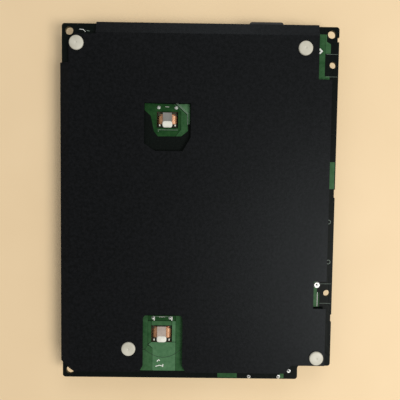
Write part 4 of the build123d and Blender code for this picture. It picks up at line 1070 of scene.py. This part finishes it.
# ==== Box capacitors and output chokes ====
# Potted film capacitors in yellow and grey boxes with small feet, and square moulded iron-powder
# chokes with an ejector mark and two flat terminals. All stand on the board on their pins.
def boxed(low, high, radius, foot):
    """A box with rounded edges that ends a foot's height short of the board, and four feet."""
    parts = [soft_block(low, high - (0.0, 0.0, foot), radius)]
    for x in (low[0] + foot_inset, high[0] - foot_inset - foot_width):
        for y in (low[1] + foot_inset, high[1] - foot_inset - foot_width):
            foot_high = (x + foot_width, y + foot_width, high[2])
            parts.append(soft_block((x, y, high[2] - 3 * foot), foot_high, 0.1 * MM, 1))
    return parts


def leg_pair(centre, pitch, axis):
    """Two pins from inside a box up to the board, a pitch apart along the axis 0 or 1."""
    pins = []
    for side in (-1, 1):
        x, y = centre[:2] + np.eye(2)[axis] * side * pitch / 2
        path = [(x, y, underside - 1.5 * MM), (x, y, underside)]
        pins.append(tube(path, (1.0, 0.0, 0.0), wire_radius))
    return pins


yellow_case = moulded("yellow_case", (0.56, 0.34, 0.020), (0.70, 0.45, 0.040), 0.38, 0.8, 0.02)
grey_case = moulded("grey_case", (0.20, 0.21, 0.22), (0.28, 0.29, 0.30), 0.40, 0.8, 0.02)
powder = moulded(
    "iron_powder", (0.035, 0.036, 0.040), (0.070, 0.071, 0.077), 0.52, 0.35, 0.05, 0.3
)
foot_inset = 0.5 * MM
foot_width = 1.1 * MM
for number in (1, 2):
    name = f"x_capacitor_{number}"
    low, high = corners_of(name)
    pins = leg_pair((low + high) / 2, (high - low)[1] - (high - low)[0] / 2, 1)
    groups = [(yellow_case, boxed(low, high, 0.8 * MM, 0.35 * MM)), (tin, pins)]
    make_piece(f"x_capacitor_box_{number}", groups, [name], crease=50.0)
cases, pins = [], []
for low, high in boxes_in("film_capacitors"):
    cases += boxed(low, high, 0.6 * MM, 0.3 * MM)
    pins += leg_pair((low + high) / 2, (high - low)[0] - (high - low)[1] / 2, 0)
groups = [(grey_case, cases), (tin, pins)]
make_piece("film_boxes", groups, ["film_capacitors"], crease=50.0)

choke_mark = turned([(0.0, -0.10), (2.1, -0.10), (2.3, -0.04), (2.3, 0.3)])
choke_gap = np.array([0.0, 0.0, 0.15]) * MM
terminal_half = np.array([1.6, 0.12]) * MM
mark_sink = np.array([0.0, 0.0, 0.05]) * MM
blocks, tabs = [], []
for low, high in boxes_in("output_chokes"):
    blocks.append(soft_block(low, high - choke_gap, 1.1 * MM, 4))
    x, y, z = (low + high) / 2
    blocks.append(moved(choke_mark, (x, y, low[2]) + mark_sink))
    for edge in (low[1] + 0.05 * MM, high[1] - 0.05 * MM):
        tab_low = (*((x, edge) - terminal_half), z)
        tab_high = (*((x, edge) + terminal_half), underside)
        tabs.append(soft_block(tab_low, tab_high, 0.05 * MM, 1))
groups = [(powder, blocks), (tin, tabs)]
make_piece("choke_blocks", groups, ["output_chokes"], crease=50.0)


# ==== Power packages, heatsinks and clips ====
# Moulded transistor, diode and bridge packages lie between the board and extruded aluminium
# heatsinks. A clip of spring steel grips each package and the heatsink's plain edge.
package_black = moulded(
    "package_black", (0.011, 0.011, 0.012), (0.020, 0.020, 0.021), 0.48, 0.5, 0.03, 0.35
)
# Leads of each package, and their pitch in millimetres.
power_nodes = {
    "power_transistors": (3, 2.54),
    "boost_diode": (3, 2.54),
    "bridge_rectifier": (4, 5.0),
    "output_rectifiers": (3, 2.54),
}
package_height = 4.5 * MM
package_edge = 0.3 * MM
tab_step = 1.6 * MM
tab_length = 6.0 * MM
tab_overlap = 1.0 * MM
lead_out = 3.0 * MM
for node_name, (lead_count, pitch) in power_nodes.items():
    bodies, leads = [], []
    for low, high in boxes_in(node_name):
        (x0, y0, z0), (x1, y1, _) = low, high
        top, rear, front = z0 + package_height, y0 + lead_out, y1 - tab_length
        tab_low, tab_high = (x0, front - tab_overlap, z0), (x1, y1, top - tab_step)
        bodies.append(soft_block((x0, rear, z0), (x1, front, top), package_edge))
        bodies.append(soft_block(tab_low, tab_high, package_edge))
        foot_y, z = y0 + 0.3 * MM, (z0 + top) / 2
        for index in range(lead_count):
            x = (x0 + x1) / 2 + (index - (lead_count - 1) / 2) * pitch * MM
            spots = up_to_board((x, rear + 0.5 * MM, z), (x, foot_y, z))
            leads.append(ribbon(route(spots, 0.6 * MM), (1.0, 0.0, 0.0), 0.9 * MM, 0.5 * MM))
    groups = [(package_black, bodies), (tin, leads)]
    make_piece(f"{node_name}_moulded", groups, [node_name], crease=50.0)

extruded = metal(
    "extruded_aluminium", (0.46, 0.47, 0.48), (0.68, 0.69, 0.70), (0.26, 0.44), 1.2, 0.02,
    (0.03, 1.0, 1.0),
)
steel = metal(
    "spring_steel", (0.34, 0.34, 0.35), (0.52, 0.52, 0.53), (0.22, 0.40), 0.9, 0.02,
    (1.0, 0.2, 1.0),
)
wear(extruded, "primary_heatsink", "secondary_heatsink")
wear(steel, "heatsink_clips")


# ==== Control chips and couplers ====
# Black moulded packages with a row of bent tinned legs along each side and a round mark by the
# first leg.
def legged(low, high, leg_count, pitch, out):
    """Bodies and legs of one package whose legs leave along Y and bend to the board."""
    body_low = low + (0.0, out, 0.0)
    body_high = high - (0.0, out, chip_lift)
    body = soft_block(body_low, body_high, 0.18 * MM, 2)
    middle_x, _, middle_z = (body_low + body_high) / 2
    leg_top = high[2] - 0.1 * MM
    legs = []
    for side, edge in ((-1, body_low[1]), (1, body_high[1])):
        knee = edge + side * out * 0.45
        for index in range(leg_count):
            x = middle_x + (index - (leg_count - 1) / 2) * pitch
            spots = [
                (x, edge - side * 0.2 * MM, middle_z), (x, knee, middle_z), (x, knee, leg_top),
                (x, edge + side * out, leg_top),
            ]
            legs.append(ribbon(route(spots, 0.15 * MM, 3), (1.0, 0.0, 0.0), 0.5 * MM, 0.18 * MM))
    return body, moved(chip_mark, body_low + (chip_mark_inset, chip_mark_inset, 0.0)), legs


chip_lift = 0.2 * MM
chip_mark = turned([(0.0, -0.03), (0.32, -0.03), (0.36, 0.05)], 16)
chip_mark_inset = 0.8 * MM
# Legs along each side, their pitch and how far they stand out in millimetres.
chip_nodes = {"control_chips": (5, 1.8, 1.0), "optocouplers": (2, 2.54, 0.6)}
for node_name, (leg_count, pitch, out) in chip_nodes.items():
    bodies, marks, legs = [], [], []
    for low, high in boxes_in(node_name):
        body, mark, pins = legged(low, high, leg_count, pitch * MM, out * MM)
        bodies.append(body)
        marks.append(mark)
        legs += pins
    groups = [(package_black, bodies), (grey_case, marks), (tin, legs)]
    make_piece(f"{node_name}_moulded", groups, [node_name], crease=50.0)


# ==== Jumper wires ====
# Short links of tinned wire across the bare side of the board, with their ends bent up through it.
links = []
for low, high in boxes_in("jumper_wires"):
    centre = (low + high) / 2
    centre[2] = low[2] + wire_radius
    axis = int((high - low)[1] > (high - low)[0])
    along = np.eye(3)[axis] * ((high - low)[axis] / 2 - wire_radius)
    start, end = centre - along, centre + along
    spots = [(start[0], start[1], underside), *up_to_board(start, end)]
    links.append(tube(route(spots, lead_wire_bend), np.eye(3)[1 - axis], wire_radius))
make_piece("wire_links", [(tin, links)], ["jumper_wires"], crease=60.0)


# ==== Connectors ====
# A black figure-eight mains inlet at the end of the board, and two white nylon headers with plated
# square pins for the supply leads of the screen's boards.
inlet_black = moulded(
    "inlet_black", (0.011, 0.011, 0.012), (0.019, 0.019, 0.020), 0.34, 0.9, 0.015, 0.5
)
white_nylon = moulded(
    "white_nylon", (0.62, 0.61, 0.57), (0.74, 0.73, 0.69), 0.40, 0.9, 0.02, 0.45
)
wear(inlet_black, "ac_inlet_housing")
wear(nickel, "ac_inlet_pins")
wear(white_nylon, "output_connector_housing", "led_connector_housing")
wear(tin, "output_connector_pins", "led_connector_pins")


# ==== Floor, light and camera ====
# A plain pale bench top, a broad soft lamp from the right with a weaker one from the left, and the
# camera held above the board.
def bench():
    """A square of floor far larger than the board, at the level that the parts rest on."""
    reach = 3.0
    outline = [(-reach, -reach), (reach, -reach), (reach, reach), (-reach, reach)]
    points = np.column_stack([np.array(outline), np.full(4, -0.0001)])
    mesh = bpy.data.meshes.new("bench_top")
    mesh.from_pydata(points.tolist(), [], [[0, 1, 2, 3]])
    material, tree, shader = new_material("bench_top", 0.3)
    cloud = noise(tree, place_on(tree), 60.0, 2.0)
    colour = ramp(tree, cloud, (0.80, 0.615, 0.380), (0.83, 0.645, 0.405))
    tree.links.new(colour, shader.inputs["Base Color"])
    shader.inputs["Roughness"].default_value = 0.6
    mesh.materials.append(material)
    floor = bpy.data.objects.new("bench_top", mesh)
    bpy.context.scene.collection.objects.link(floor)


def lamp(name, spot, target, size, watts, colour):
    """A square area lamp at spot that shines towards target."""
    light = bpy.data.lights.new(name, "AREA")
    light.shape = "SQUARE"
    light.size = size
    light.energy = watts
    light.color = colour
    holder = bpy.data.objects.new(name, light)
    bpy.context.scene.collection.objects.link(holder)
    holder.location = spot
    holder.rotation_euler = (Vector(target) - Vector(spot)).to_track_quat("-Z", "Y").to_euler()


bench()
lamp("soft_key", (0.53, -0.25, 0.82), (0.0, 0.0, 0.0), 0.42, 6.9, (1.0, 0.97, 0.93))
lamp("soft_fill", (0.1, 0.80, 0.62), (0.0, 0.0, 0.0), 0.5, 1.8, (0.95, 0.97, 1.0))

world = bpy.data.worlds.new("studio")
world.use_nodes = True
world.node_tree.nodes["Background"].inputs["Color"].default_value = (1.0, 0.98, 0.95, 1.0)
world.node_tree.nodes["Background"].inputs["Strength"].default_value = 0.43
bpy.context.scene.world = world

camera_data = bpy.data.cameras.new("camera")
camera_data.lens = 36.0
camera_data.sensor_width = 36.0
camera_data.clip_start = 0.01
camera = bpy.data.objects.new("camera", camera_data)
bpy.context.scene.collection.objects.link(camera)
camera.location = (-0.00019, 0.01257, 0.23858)
camera.rotation_euler = [math.radians(angle) for angle in (-2.774, -0.289, 0.763)]
bpy.context.scene.camera = camera
bpy.context.scene.view_settings.view_transform = "Standard"
